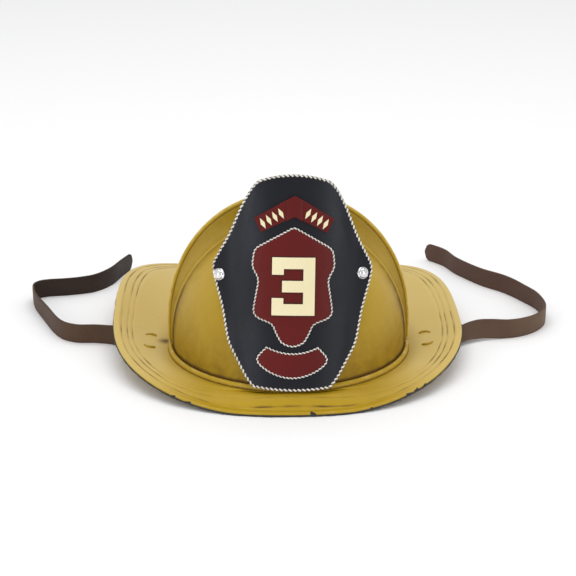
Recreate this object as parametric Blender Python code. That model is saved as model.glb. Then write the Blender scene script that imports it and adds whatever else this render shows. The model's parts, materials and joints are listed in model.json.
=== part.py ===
"""A traditional firefighter helmet: pressed crown with a standing comb, wide brim, leather front shield,
inner liner and two loose chin straps. Metres, +Z up, the front of the helmet faces -Y.

The mesh data is written round the comb plane: x = 0 is the middle, y = 0 is the ear-to-ear comb, z = 0 is the
table. The empty "helmet" then moves everything so that the origin is the middle of the brim's length."""

import functools
import math

import bmesh
import bpy
import numpy as np
from mathutils import Vector

# Driving dimensions
GAP = 0.0003  # between pieces that touch
COLUMNS = 56  # round the crown and the brim

CROWN_HALF_WIDTH = 0.0965
CROWN_FRONT = 0.098  # comb plane to the front of the foot
CROWN_REAR = 0.118
CROWN_FOOT = 0.014  # height of the brim's top at the crown
CROWN_STRAIGHT = 0.0125  # upright part of the wall
CROWN_RISE = 0.100  # domed part above it
CROWN_WALL = 0.0015
CRIMP = 0.004  # the foot's lip, turned out under the brim
DOME_ROWS = 7

COMB_OUT = 0.0024  # comb height at the ears
COMB_LIFT = 0.0073  # how much higher its curve starts than the dome's
COMB_RISE = 0.1125
COMB_FULLNESS = 2.1
COMB_ROLL = 0.0027
COMB_ROLL_SKIRT = 0.0017
COMB_STATIONS = 25

BEAD_WIDTH = 0.0052
BEAD_HEIGHT = 0.0044

BRIM_SIDE = 0.0515
BRIM_FRONT = 0.021
BRIM_REAR = 0.110
BRIM_THICK = 0.002
BRIM_SEAT = 0.0065  # flat ring that the crown stands on
BRIM_SIDE_RISE = 0.009  # the edge at the sides, above the foot
BRIM_WIDEST = 0.040  # widest place, behind the comb
FRONT_FULLNESS = 2.35
REAR_FULLNESS = 3.3
BRIM_FLAT_SHARE = 0.3  # of the half-width, where the edge stays level at front and rear
BRIM_CURL = 1.4
BRIM_ROWS = 4
EDGE_BEAD_PROUD = 0.0006
EDGE_BEAD_WIDTH = 0.0034
EDGE_BEAD_HEIGHT = 0.0016
EDGE_BEAD_CHAMFER = 0.0004
BRIM_RIM = 0.0045  # level strip along the edge, over the bead

SHIELD_THICK = 0.0025
SHIELD_LEAN = math.radians(14)
SHIELD_BEND = 0.115  # radius across the front
SHIELD_CLEAR = 0.00255  # least space between its back and the crown
SHIELD_LIFT = 0.0025
SHIELD_TOP = 0.169
SHIELD_SIDE = (  # half-width and height up the face
    (0.0309, 0.0024),
    (0.0367, 0.0086),
    (0.0532, 0.0376),
    (0.0585, 0.0650),
    (0.0657, 0.0870),
    (0.0681, 0.0980),
    (0.0532, 0.1224),
    (0.0416, 0.1482),
    (0.0338, 0.1600),
    (0.0290, 0.1645),
)
ARC_POINTS = 2  # on each half of a curved end
EDGE_CORD = 0.0015  # radius of the cord round the shield
PANEL_CORD = 0.0012
PATCH_THICK = 0.0013
PATCH_ROW = 0.014  # longest step between its rows
PANEL_FOOT = 0.036
PANEL_TOP = 0.1285
PANEL_SIDE = (
    (0.0090, 0.0395),
    (0.0130, 0.0463),
    (0.0155, 0.0536),
    (0.0280, 0.0580),
    (0.0310, 0.0620),
    (0.0305, 0.0675),
    (0.0268, 0.0886),
    (0.0325, 0.0980),
    (0.0307, 0.1120),
    (0.0030, 0.1275),
)
SCROLL_FOOT = 0.011
SCROLL_TOP = 0.030
SCROLL_SIDE = ((0.0200, 0.0170), (0.0262, 0.0215), (0.0280, 0.0265), (0.0200, 0.0350))
BANNER_HALF = 0.031
BANNER_TOP = 0.154
BANNER_BAND = 0.0164
BANNER_DROP = 0.018
BANNER_END_SLANT = 0.0055
NUMERAL_FOOT = 0.0604
NUMERAL_STROKE = 0.009
NUMERAL_SPACE = 0.0092
NUMERAL_HALF = 0.0165
NUMERAL_THICK = 0.001

SCREW_ACROSS = 0.0585  # along the bent face
SCREW_UP = 0.0918
SCREW_RADIUS = 0.002
SCREW_HEAD = 0.0048
SCREW_HEAD_RISE = 0.0034
SPACER_RADIUS = 0.0045
WEDGE_RADIUS = 0.005
NUT_WALL = 0.0013
NUT_THICK = 0.0032
BORE_CLEARANCE = 0.0003
WEDGE_LEAST = 0.0012  # least thickness of the wedge washer inside the crown
SCREW_BEYOND = 0.0018  # screw's end past the nut

HANGER_OUT = 0.0155  # bar's distance outside the crown's foot
HANGER_Y = 0.005
HANGER_HALF = 0.013
HANGER_BAR_Z = 0.0065
HANGER_WIRE = 0.0011
HANGER_CLINCH = 0.007
HANGER_CORNER = 0.002

STRAP_WIDTH = 0.017
STRAP_THICK = 0.002
STRAP_LOOP_GAP = 0.0004
STRAP_REST = 0.0001  # underside above the table
STRAP_CLEAR = 0.0012  # least space under the brim's edge bead
STRAP_STEP = 0.008
STRAP_TAIL = 0.0115
RIVET_OUT = 0.0085  # rivet's distance from the bar
RIVET_SHANK = 0.0014
RIVET_HEAD = 0.003
RIVET_HEAD_THICK = 0.0011
# Routes of the straps over the table, measured from the middle of the hanger's bar, outwards and back.
LEFT_ROUTE = (  # from the bar's middle: outwards, back
    (0.000, 0.000),
    (0.006, 0.000),
    (0.012, 0.003),
    (0.020, 0.012),
    (0.028, 0.024),
    (0.038, 0.033),
    (0.053, 0.037),
    (0.070, 0.038),
    (0.084, 0.049),
    (0.097, 0.079),
    (0.110, 0.111),
    (0.116, 0.138),
    (0.113, 0.149),
    (0.104, 0.154),
    (0.090, 0.156),
    (0.076, 0.159),
    (0.062, 0.166),
    (0.050, 0.183),
    (0.041, 0.206),
    (0.032, 0.228),
)
RIGHT_ROUTE = (
    (0.000, 0.000),
    (0.006, 0.000),
    (0.012, 0.003),
    (0.020, 0.012),
    (0.029, 0.024),
    (0.040, 0.033),
    (0.053, 0.037),
    (0.066, 0.038),
    (0.088, 0.041),
    (0.106, 0.054),
    (0.117, 0.076),
    (0.116, 0.104),
    (0.106, 0.127),
    (0.092, 0.153),
    (0.071, 0.175),
    (0.054, 0.204),
    (0.044, 0.229),
    (0.028, 0.249),
)
# Distance along each strap where it starts and ends its quarter turn from flat to upright.
LEFT_TWIST = (0.014, 0.058)
RIGHT_TWIST = (0.034, 0.095)

RING_INSET = 0.0024  # crown's outer face to the inner hoop
RING_THICK = 0.0012
RING_SPAN = (0.013, 0.025)
CLIP_THICK = 0.0012
CLIP_GAP = 0.0004
CLIP_REACH = 0.0089  # from the hoop's tab to the headband's tab
CLIP_FOOT = 0.014
CLIP_STEP = 0.026
CLIP_TOP = 0.044
CLIP_HALF = 0.007
CLIP_ANGLES = (45, 135, 225, 315)
CRADLE_WIDTH = 0.014
CRADLE_THICK = 0.0012
CRADLE_GAP = 0.0005
CRADLE_FOOT = 0.032
CRADLE_DROP = 0.0289  # from the crown's inner top to the middle of the webbing
CRADLE_FLAT = 0.028
CRADLE_END = 0.013
PAD_RADIUS = 0.026
PAD_THICK = 0.0032
HEADBAND_THICK = 0.0012
HEADBAND_SPAN = (0.008, 0.046)
SWEATBAND_THICK = 0.0015
SWEATBAND_SPAN = (0.010, 0.034)
HOOP_RIVET_Z = 0.019
BAND_RIVET_Z = 0.039

# What follows from them
BRIM_UNDER = CROWN_FOOT - BRIM_THICK
EDGE_LOW = EDGE_BEAD_HEIGHT + GAP + BRIM_THICK
EDGE_HIGH = CROWN_FOOT + BRIM_SIDE_RISE
BRIM_HALF = CROWN_HALF_WIDTH + BRIM_SIDE
FRONT_REACH = CROWN_FRONT + BRIM_FRONT
REAR_REACH = CROWN_REAR + BRIM_REAR
DOME_BASE = CROWN_FOOT + CROWN_STRAIGHT
SEAM = CROWN_WALL + GAP / 2
COMB_FOOT = CROWN_FOOT + BEAD_HEIGHT + 0.0004
CRADLE_TOP = DOME_BASE + CROWN_RISE - CROWN_WALL - CRADLE_DROP
COMB_BASE = DOME_BASE + COMB_LIFT
COMB_HALF = CROWN_HALF_WIDTH + COMB_OUT
CLIP_INSET = RING_INSET + RING_THICK + CLIP_GAP
BAND_TAB_INSET = CLIP_INSET + CLIP_REACH
CRADLE_INSET = BAND_TAB_INSET + CLIP_THICK + CRADLE_GAP
HEADBAND_INSET = CRADLE_INSET + CRADLE_THICK + CRADLE_GAP
SWEATBAND_INSET = HEADBAND_INSET + HEADBAND_THICK + CLIP_GAP
LINER_MIDDLE = (CROWN_REAR - CROWN_FRONT) / 2


def clear_scene():
    for obj in list(bpy.data.objects):
        bpy.data.objects.remove(obj)


def material(name, colour, roughness, metallic=0.0):
    made = bpy.data.materials.new(name)
    made.use_nodes = True
    shader = made.node_tree.nodes["Principled BSDF"]
    shader.inputs["Base Color"].default_value = (*colour, 1.0)
    shader.inputs["Roughness"].default_value = roughness
    shader.inputs["Metallic"].default_value = metallic
    return made


def empty(name, location, parent=None):
    obj = bpy.data.objects.new(name, None)
    obj.location = location
    obj.parent = parent
    bpy.context.collection.objects.link(obj)
    return obj


def add(name, points, faces, finish, parent):
    """One named object from points and faces, its normals turned outwards."""
    mesh = bpy.data.meshes.new(name)
    mesh.from_pydata([tuple(p) for p in points], [], faces)
    shape = bmesh.new()
    shape.from_mesh(mesh)
    bmesh.ops.recalc_face_normals(shape, faces=shape.faces)
    shape.to_mesh(mesh)
    shape.free()
    mesh.shade_smooth()
    mesh.set_sharp_from_angle(angle=math.radians(35))
    if finish:
        mesh.materials.append(finish)
    obj = bpy.data.objects.new(name, mesh)
    obj.parent = parent
    bpy.context.collection.objects.link(obj)
    return obj


def quads(rows, columns, closed, first=0):
    """Faces of a grid of points, row by row; a closed grid joins its last column to its first."""
    made = []
    for i in range(rows - 1):
        for j in range(columns if closed else columns - 1):
            k = (j + 1) % columns
            made.append((first + i * columns + j, first + i * columns + k,
                         first + (i + 1) * columns + k, first + (i + 1) * columns + j))
    return made


def sweep(name, stations, closed, finish, parent):
    """A solid through a list of sections with equal point counts; an open one gets a cap at each end."""
    stations = np.asarray(stations)
    count, sides = stations.shape[:2]
    points = stations.reshape(-1, 3)
    faces = quads(count, sides, True)
    if closed:
        last = (count - 1) * sides
        faces += [(last + j, last + (j + 1) % sides, (j + 1) % sides, j) for j in range(sides)]
    else:
        faces += [tuple(range(sides)), tuple(range((count - 1) * sides, count * sides))]
    return add(name, points, faces, finish, parent)


def plate(name, outer, inner, closed, finish, parent):
    """A solid between two grids of points, walled along their open edges."""
    rows, columns = outer.shape[:2]
    size = rows * columns
    points = np.concatenate([outer.reshape(-1, 3), inner.reshape(-1, 3)])
    faces = quads(rows, columns, closed) + quads(rows, columns, closed, size)
    edges = []
    for row in (0, (rows - 1) * columns):
        edges += [(row + j, row + (j + 1) % columns) for j in range(columns if closed else columns - 1)]
    if not closed:
        for column in (0, columns - 1):
            edges += [(i * columns + column, (i + 1) * columns + column) for i in range(rows - 1)]
    faces += [(a, b, b + size, a + size) for a, b in edges]
    return add(name, points, faces, finish, parent)


def frames(path, references, closed):
    """Tangent, normal nearest each reference, and binormal at each point of a path."""
    path = np.asarray(path)
    if closed:
        along = np.roll(path, -1, 0) - np.roll(path, 1, 0)
    else:
        along = np.gradient(path, axis=0)
    along /= np.linalg.norm(along, axis=1)[:, None]
    normal = references - (references * along).sum(1)[:, None] * along
    normal /= np.linalg.norm(normal, axis=1)[:, None]
    return along, normal, np.cross(along, normal)


def follow(path, references, section, closed=False):
    """Stations of a section, given as (along the normal, along the binormal), carried along a path."""
    _, normal, side = frames(path, np.asarray(references, float), closed)
    section = np.asarray(section)
    return (np.asarray(path)[:, None] + normal[:, None] * section[None, :, :1]
            + side[:, None] * section[None, :, 1:])


def round_section(radius, sides):
    turn = np.linspace(0, 2 * np.pi, sides, endpoint=False)
    return np.stack([radius * np.cos(turn), radius * np.sin(turn)], 1)


def egg(angle, outset=0.0):
    """Point on the crown's foot outline at this angle, moved outwards along the outline's normal."""
    depth = CROWN_FRONT if math.sin(angle) < 0 else CROWN_REAR
    normal = np.array([math.cos(angle) / CROWN_HALF_WIDTH, math.sin(angle) / depth])
    normal /= np.linalg.norm(normal)
    return np.array([CROWN_HALF_WIDTH * math.cos(angle), depth * math.sin(angle)]) + outset * normal


def egg_hoop(name, section, finish, parent, middle=None, half=None, stations=3):
    """A section of (outset, height) points carried round the foot outline, or over an arc of it."""
    if middle is None:
        angles = np.linspace(0, 2 * np.pi, COLUMNS, endpoint=False)
    else:
        angles = np.linspace(middle - half, middle + half, stations)
    made = [[(*egg(a, outset), height) for outset, height in section] for a in angles]
    return sweep(name, made, middle is None, finish, parent)


def band(inset, thick, span):
    """Section of an upright hoop, as (outset, height) points."""
    return [(-inset, span[0]), (-inset, span[1]), (-inset - thick, span[1]), (-inset - thick, span[0])]


def turned(name, profile, sides, finish, parent, place=None, axis=(0, 0, 1)):
    """A solid of revolution from (radius, distance along the axis) points that start and end on the axis or close."""
    place = Vector((0, 0, 0)) if place is None else Vector(place)
    turn = Vector((0, 0, 1)).rotation_difference(Vector(axis)).to_matrix()
    ring = [(math.cos(a), math.sin(a)) for a in np.linspace(0, 2 * np.pi, sides, endpoint=False)]
    solid = profile[0][0] == 0
    body = profile[1:-1] if solid else profile
    points = [place + turn @ Vector((r * c, r * s, h)) for r, h in body for c, s in ring]
    faces = quads(len(body), sides, True)
    last = (len(body) - 1) * sides
    if solid:
        points += [place + turn @ Vector((0, 0, profile[0][1])), place + turn @ Vector((0, 0, profile[-1][1]))]
        low, high = len(points) - 2, len(points) - 1
        faces += [(low, j, (j + 1) % sides) for j in range(sides)]
        faces += [(high, last + (j + 1) % sides, last + j) for j in range(sides)]
    else:
        faces += [(last + j, last + (j + 1) % sides, (j + 1) % sides, j) for j in range(sides)]
    return add(name, points, faces, finish, parent)


def tube_profile(inner, outer, low, high):
    return [(inner, low), (outer, low), (outer, high), (inner, high)]


def rod_profile(radius, low, high):
    return [(0, low), (radius, low), (radius, high), (0, high)]


def cutter(obj):
    obj.hide_render = True
    obj.display_type = "WIRE"
    return obj


def cut(obj, tool, operation="DIFFERENCE"):
    step = obj.modifiers.new(operation.lower(), "BOOLEAN")
    step.operation = operation
    step.object = tool


def ray_end(inside, far):
    """How far a ray runs before inside(distance) turns false, by halving."""
    low, high = 0, far
    for _ in range(40):
        middle = (low + high) / 2
        if inside(middle):
            low = middle
        else:
            high = middle
    return low


# Crown

def dome_rows(outset=0.0, foot=None):
    """(scale of the foot outline's size, outset, height) of each row of the dome, from the foot upwards."""
    rise = CROWN_RISE + outset
    made = foot or []
    for i in range(DOME_ROWS):
        lift = math.radians(90 * i / DOME_ROWS)
        made = made + [(math.cos(lift), outset, DOME_BASE + rise * math.sin(lift))]
    return made, DOME_BASE + rise


def dome_shell(rows, top):
    """Points and faces of the open dome, apex last."""
    angles = np.linspace(0, 2 * np.pi, COLUMNS, endpoint=False)
    points = []
    for scale, outset, height in rows:
        points += [(*(scale * egg(a, outset)), height) for a in angles]
    faces = quads(len(rows), COLUMNS, True)
    last = (len(rows) - 1) * COLUMNS
    points.append((0, 0, top))
    faces += [(last + j, last + (j + 1) % COLUMNS, len(points) - 1) for j in range(COLUMNS)]
    return points, faces


def dome_block(name, outset, parent):
    """The dome as a solid, grown or shrunk by an outset: a cutter."""
    rows, top = dome_rows(outset, [(1, outset, CROWN_FOOT)])
    points, faces = dome_shell(rows, top)
    faces.append(tuple(range(COLUMNS)))
    return cutter(add(name, points, faces, None, parent))


def comb_edge(turn):
    """Point (x, z) on the comb's outer edge; turn runs from 0 at the right ear to pi at the left one."""
    power = 2 / COMB_FULLNESS
    across = math.copysign(abs(math.cos(turn)) ** power, math.cos(turn))
    return COMB_HALF * across, COMB_BASE + COMB_RISE * abs(math.sin(turn)) ** power


def comb_above(x, z):
    """Where the ray from the dome's middle through (x, z) meets the comb's outer edge."""
    if z <= DOME_BASE:
        return math.copysign(COMB_HALF, x), z
    away = math.hypot(x, z - DOME_BASE)
    right, up = x / away, (z - DOME_BASE) / away

    def inside(reach):
        across = abs(right) * reach / COMB_HALF
        lift = max(DOME_BASE + up * reach - COMB_BASE, 0) / COMB_RISE
        return across**COMB_FULLNESS + lift**COMB_FULLNESS < 1

    reach = ray_end(inside, 2 * COMB_RISE)
    return right * reach, DOME_BASE + up * reach


def crown_half(name, front, finish, parent):
    """Half of the crown, with the foot's crimped lip and its side of the standing comb."""
    side = -1 if front else 1
    lip = BRIM_UNDER - GAP
    foot = [(1, CRIMP, lip), (1, 0, lip), (1, 0, COMB_FOOT)]
    points, faces = dome_shell(*dome_rows(0.0, foot))
    mesh = bpy.data.meshes.new(name)
    mesh.from_pydata(points, [], faces)
    shape = bmesh.new()
    shape.from_mesh(mesh)
    everything = shape.verts[:] + shape.edges[:] + shape.faces[:]
    bmesh.ops.bisect_plane(shape, geom=everything, dist=1e-6, plane_co=(0, side * SEAM, 0),
                           plane_no=(0, -side, 0), clear_outer=True)
    seam = [e for e in shape.edges if e.is_boundary
            and all(abs(v.co.y - side * SEAM) < 1e-5 and v.co.z > COMB_FOOT - 1e-5 for v in e.verts)]
    grown = bmesh.ops.extrude_edge_only(shape, edges=seam)["geom"]
    for vertex in [g for g in grown if isinstance(g, bmesh.types.BMVert)]:
        vertex.co.x, vertex.co.z = comb_above(vertex.co.x, vertex.co.z)
    bmesh.ops.recalc_face_normals(shape, faces=shape.faces)
    apex = max((f for f in shape.faces if abs(f.normal.y) < 0.9), key=lambda f: f.calc_center_median().z)
    if apex.normal.z < 0:
        bmesh.ops.reverse_faces(shape, faces=shape.faces)
    shape.to_mesh(mesh)
    shape.free()
    mesh.shade_smooth()
    mesh.set_sharp_from_angle(angle=math.radians(35))
    mesh.materials.append(finish)
    obj = bpy.data.objects.new(name, mesh)
    obj.parent = parent
    bpy.context.collection.objects.link(obj)
    wall = obj.modifiers.new("wall", "SOLIDIFY")
    wall.thickness = CROWN_WALL
    wall.offset = -1
    wall.use_even_offset = True
    return obj


def comb_roll(finish, parent):
    """The rolled bead that clips the two flanges of the comb together."""
    turns = np.linspace(0, math.pi, COMB_STATIONS)
    arch = [comb_edge(t) for t in turns]
    foot = COMB_FOOT + GAP
    arch = [(COMB_HALF, foot)] + arch + [(-COMB_HALF, foot)]
    path = np.array([(x, 0, z) for x, z in arch])
    out = np.array([(x, 0, max(z - DOME_BASE, 0)) for x, z in arch])
    skirt, slot, half = COMB_ROLL_SKIRT, SEAM + GAP, COMB_ROLL
    section = [(-skirt, half), (0, half + 0.0001), (0.7 * half, 0.72 * half), (half, 0),
               (0.7 * half, -0.72 * half), (0, -half - 0.0001), (-skirt, -half),
               (-skirt, -slot), (GAP, -slot), (GAP, slot), (-skirt, slot)]
    return sweep("comb_edge_roll", follow(path, out, section), False, finish, parent)


def base_bead(finish, parent):
    low = CROWN_FOOT + GAP
    width, rise = BEAD_WIDTH, BEAD_HEIGHT
    section = [(GAP, low), (0.94 * width, low), (width, low + 0.35 * rise), (0.75 * width, low + 0.75 * rise),
               (0.4 * width, low + 0.93 * rise), (GAP, low + 0.86 * rise)]
    return egg_hoop("base_bead", section, finish, parent)


# Brim

def inside_brim(x, y):
    """Whether a point is inside the brim's edge: two half superellipses that meet at its widest place."""
    back = y >= BRIM_WIDEST
    power = REAR_FULLNESS if back else FRONT_FULLNESS
    reach = REAR_REACH - BRIM_WIDEST if back else FRONT_REACH + BRIM_WIDEST
    return (abs(x) / BRIM_HALF) ** power + (abs(y - BRIM_WIDEST) / reach) ** power < 1


def brim_outline():
    """The brim's outer edge and its outward normals, each point straight out from one of the crown's columns."""
    edge = []
    for angle in np.linspace(0, 2 * np.pi, COLUMNS, endpoint=False):
        way = egg(angle) / np.linalg.norm(egg(angle))
        edge.append(way * ray_end(lambda away: inside_brim(*(way * away)), 2 * REAR_REACH))
    edge = np.array(edge)
    along = np.roll(edge, -1, 0) - np.roll(edge, 1, 0)
    normal = np.stack([along[:, 1], -along[:, 0]], 1) / np.linalg.norm(along, axis=1)[:, None]
    return edge, normal


def edge_height(x):
    """Height of the brim's top at its edge: level at front and rear, raised at the sides."""
    share = max(abs(x) / BRIM_HALF - BRIM_FLAT_SHARE, 0) / (1 - BRIM_FLAT_SHARE)
    return EDGE_LOW + (EDGE_HIGH - EDGE_LOW) * min(share, 1) ** 1.6


def brim(finish, parent):
    edge, normal = brim_outline()
    top = np.zeros((BRIM_ROWS + 3, COLUMNS, 3))
    for i, (x, y) in enumerate(edge):
        rim = edge[i] - BRIM_RIM * normal[i]
        angle = 2 * math.pi * i / COLUMNS
        seat = egg(angle, BRIM_SEAT)
        top[0, i] = (*egg(angle, GAP), CROWN_FOOT)
        for row in range(BRIM_ROWS + 1):
            share = row / BRIM_ROWS
            rise = (edge_height(x) - CROWN_FOOT) * share**BRIM_CURL
            top[row + 1, i] = (*(seat + (rim - seat) * share), CROWN_FOOT + rise)
        top[-1, i] = (x, y, edge_height(x))
    under = top - (0, 0, BRIM_THICK)
    return plate("brim", top, under, True, finish, parent)


def brim_height_at_side(x):
    """Height of the brim's top beside the crown, at y = 0."""
    seat = CROWN_HALF_WIDTH + BRIM_SEAT
    share = max(abs(x) - seat, 0) / (BRIM_HALF - BRIM_RIM - seat)
    return CROWN_FOOT + BRIM_SIDE_RISE * share**BRIM_CURL


def brim_edge_bead(finish, parent):
    edge, normal = brim_outline()
    inner = EDGE_BEAD_PROUD - EDGE_BEAD_WIDTH
    top = -BRIM_THICK - GAP
    low = top - EDGE_BEAD_HEIGHT
    side = EDGE_BEAD_CHAMFER
    section = [(inner, top), (EDGE_BEAD_PROUD, top), (EDGE_BEAD_PROUD, low + side),
               (EDGE_BEAD_PROUD - side, low), (inner + side, low), (inner, low + side)]
    stations = []
    for (x, y), (nx, ny) in zip(edge, normal):
        height = edge_height(x)
        stations.append([(x + nx * out, y + ny * out, height + up) for out, up in section])
    return sweep("brim_edge_bead", stations, True, finish, parent)


# Front shield

def outside_dome(point, outset):
    """Whether a point is outside the front half of the dome, grown by an outset."""
    x, y, z = point
    lift = min(max((z - DOME_BASE) / (CROWN_RISE + outset), 0), 1)
    across, depth = x / (CROWN_HALF_WIDTH + outset), y / (CROWN_FRONT + outset)
    return math.hypot(across, depth) > math.sqrt(1 - lift * lift)


@functools.cache
def shield_standoff():
    """How far the shield's foot stands in front of the crown's, so that its back clears the dome and the bead."""
    back = SHIELD_THICK / 2 + EDGE_CORD
    shape = [(0, 0)] + list(SHIELD_SIDE)
    bead_top = CROWN_FOOT + GAP + BEAD_HEIGHT + EDGE_CORD

    def touches(standoff):
        points = [bent(x, y, -back, standoff) for x, y in shape]
        low = [(x, y, CROWN_FOOT) for x, y, z in points if z < bead_top]
        return not (all(outside_dome(point, SHIELD_CLEAR) for point in points)
                    and all(outside_dome(point, BEAD_WIDTH + GAP) for point in low))

    return ray_end(touches, CROWN_FRONT)


def on_shield(across, up, out):
    """A point by its distance along the bent face, its height up the face, and its distance in front of it."""
    return bent(across, up, out, shield_standoff())


def bent(across, up, out, standoff):
    turn = across / SHIELD_BEND
    forward = (SHIELD_BEND + out) * math.cos(turn) - SHIELD_BEND
    y = -(CROWN_FRONT + standoff) + up * math.sin(SHIELD_LEAN) - forward * math.cos(SHIELD_LEAN)
    z = CROWN_FOOT + SHIELD_LIFT + up * math.cos(SHIELD_LEAN) + forward * math.sin(SHIELD_LEAN)
    return (SHIELD_BEND + out) * math.sin(turn), y, z


def shield_normal(across):
    turn = across / SHIELD_BEND
    return Vector((math.sin(turn), -math.cos(SHIELD_LEAN) * math.cos(turn),
                   math.sin(SHIELD_LEAN) * math.cos(turn)))


def outline(side, foot, top):
    """A closed outline from its right-hand side: foot, right side upwards, top, left side down.

    Between the foot or the top and the side's nearer end it follows a parabola, through ARC_POINTS points."""
    def arc(corner, middle):
        shares = np.arange(1, ARC_POINTS + 1) / (ARC_POINTS + 1)
        return [(corner[0] * s, middle + (corner[1] - middle) * s * s) for s in shares]

    right = arc(side[0], foot) + list(side) + arc(side[-1], top)[::-1]
    left = [(-x, y) for x, y in reversed(right)]
    return np.array([(0, foot)] + right + [(0, top)] + left)


def inset(points, distance):
    """The outline moved inwards, corner by corner."""
    before = points - np.roll(points, 1, 0)
    after = np.roll(points, -1, 0) - points
    inward = []
    for a, b in zip(before, after):
        na = np.array([-a[1], a[0]]) / np.linalg.norm(a)
        nb = np.array([-b[1], b[0]]) / np.linalg.norm(b)
        middle = (na + nb) / np.linalg.norm(na + nb)
        inward.append(middle / max(middle @ na, 0.5))
    return points + distance * np.array(inward)


def patch(name, side, foot, top, shrink, low, high, columns, finish, parent):
    """A piece of leather that follows the bent face, its edge moved inwards by shrink."""
    shape = inset(outline(side, foot, top), shrink)
    right = shape[1 + ARC_POINTS:1 + ARC_POINTS + len(side)]
    foot, top = shape[0, 1], shape[1 + 2 * ARC_POINTS + len(side), 1]
    rows = []
    for start, end in zip(right[:-1], right[1:]):
        steps = math.ceil(np.linalg.norm(end - start) / PATCH_ROW)
        rows += [start + (end - start) * i / steps for i in range(steps)]
    rows.append(right[-1])
    shares = np.linspace(-1, 1, columns)
    grid = np.zeros((len(rows), columns, 2))
    for i, (half, up) in enumerate(rows):
        middle = foot if i == 0 else top if i == len(rows) - 1 else up
        grid[i, :, 0] = half * shares
        grid[i, :, 1] = middle + (up - middle) * shares**2
    outer, inner = ([[on_shield(x, y, out) for x, y in row] for row in grid] for out in (high, low))
    return plate(name, np.array(outer), np.array(inner), False, finish, parent)


def edge_cord(name, side, foot, top, shrink, out, radius, spacing, finish, parent):
    """A round cord along an outline on the bent face."""
    shape = inset(outline(side, foot, top), shrink)
    path, references = [], []
    for start, end in zip(shape, np.roll(shape, -1, 0)):
        steps = max(1, round(np.linalg.norm(end - start) / spacing))
        for i in range(steps):
            x, y = start + (end - start) * i / steps
            path.append(on_shield(x, y, out))
            references.append(tuple(shield_normal(x)))
    stations = follow(path, references, round_section(radius, 5), True)
    return sweep(name, stations, True, finish, parent)


def banner(finish, parent):
    low, high = GAP, GAP + PATCH_THICK
    shares = np.linspace(-1, 1, 9)
    grid = []
    for bottom in (1, 0):
        half = BANNER_HALF - BANNER_END_SLANT * bottom
        drop = BANNER_DROP * (1 - bottom) + (BANNER_DROP - BANNER_END_SLANT) * bottom
        top = BANNER_TOP - BANNER_BAND * bottom
        grid.append([(half * s, top - drop * abs(s)) for s in shares])
    outer, inner = (np.array([[on_shield(x, y, out) for x, y in row] for row in grid]) for out in (high, low))
    return plate("shield_banner", outer, inner, False, finish, parent)


def numeral(finish, parent):
    """A plain block figure three, made of cells on a grid."""
    low = 2 * GAP + PATCH_THICK
    inner_half = NUMERAL_HALF - NUMERAL_STROKE
    across = [-NUMERAL_HALF, -inner_half, 0, inner_half, NUMERAL_HALF]
    up = [NUMERAL_FOOT]
    for step in (NUMERAL_STROKE, NUMERAL_SPACE, NUMERAL_STROKE, NUMERAL_SPACE, NUMERAL_STROKE):
        up.append(up[-1] + step)
    filled = {(row, column) for row in (0, 4) for column in range(4)}
    filled |= {(2, 1), (2, 2), (2, 3), (1, 3), (3, 3)}
    points, index, faces = [], {}, []

    def corner(row, column, layer):
        key = (row, column, layer)
        if key not in index:
            index[key] = len(points)
            points.append(on_shield(across[column], up[row], low + NUMERAL_THICK * layer))
        return index[key]

    for row, column in filled:
        ring = [(row, column), (row, column + 1), (row + 1, column + 1), (row + 1, column)]
        for layer in (0, 1):
            faces.append(tuple(corner(*c, layer) for c in ring))
        beyond = [(row - 1, column), (row, column + 1), (row + 1, column), (row, column - 1)]
        for k, cell in enumerate(beyond):
            if cell not in filled:
                a, b = ring[k], ring[(k + 1) % 4]
                faces.append((corner(*a, 0), corner(*b, 0), corner(*b, 1), corner(*a, 1)))
    return add("shield_numeral", points, faces, finish, parent)


def shield(finishes, parent):
    leather, red, cream, cord = (finishes[k] for k in ("shield leather", "red leather", "cream", "cord"))
    plate_inset = 2 * EDGE_CORD + GAP
    face = patch("shield_plate", SHIELD_SIDE, 0, SHIELD_TOP, plate_inset, -SHIELD_THICK, 0, 13, leather, parent)
    edge_cord("shield_edge_cord", SHIELD_SIDE, 0, SHIELD_TOP, EDGE_CORD, -SHIELD_THICK / 2, EDGE_CORD, 0.011,
              cord, parent)
    tuck = PANEL_CORD + GAP
    for name, side, foot, top, columns in (
        ("shield_panel", PANEL_SIDE, PANEL_FOOT, PANEL_TOP, 9),
        ("shield_scroll", SCROLL_SIDE, SCROLL_FOOT, SCROLL_TOP, 9),
    ):
        patch(name, side, foot, top, tuck, GAP, GAP + PATCH_THICK, columns, red, parent)
        edge_cord(name + "_cord", side, foot, top, 0, GAP + PANEL_CORD, PANEL_CORD, 0.009, cord, parent)
    banner(red, parent)
    numeral(cream, parent)
    return face


def wedge_seat(place, axis):
    """Depth behind the shield's face at which a wedge washer's flat back clears the crown's inner face."""
    ring = [(math.cos(a), math.sin(a)) for a in np.linspace(0, 2 * np.pi, 12, endpoint=False)]
    turn = Vector((0, 0, 1)).rotation_difference(axis).to_matrix()
    depths = []
    for c, s in ring:
        start = Vector(place) + turn @ Vector((WEDGE_RADIUS * c, WEDGE_RADIUS * s, 0))
        depths.append(ray_end(lambda depth, start=start: outside_dome(start - depth * axis, -CROWN_WALL),
                              CROWN_FRONT))
    return max(depths) + WEDGE_LEAST


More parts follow.
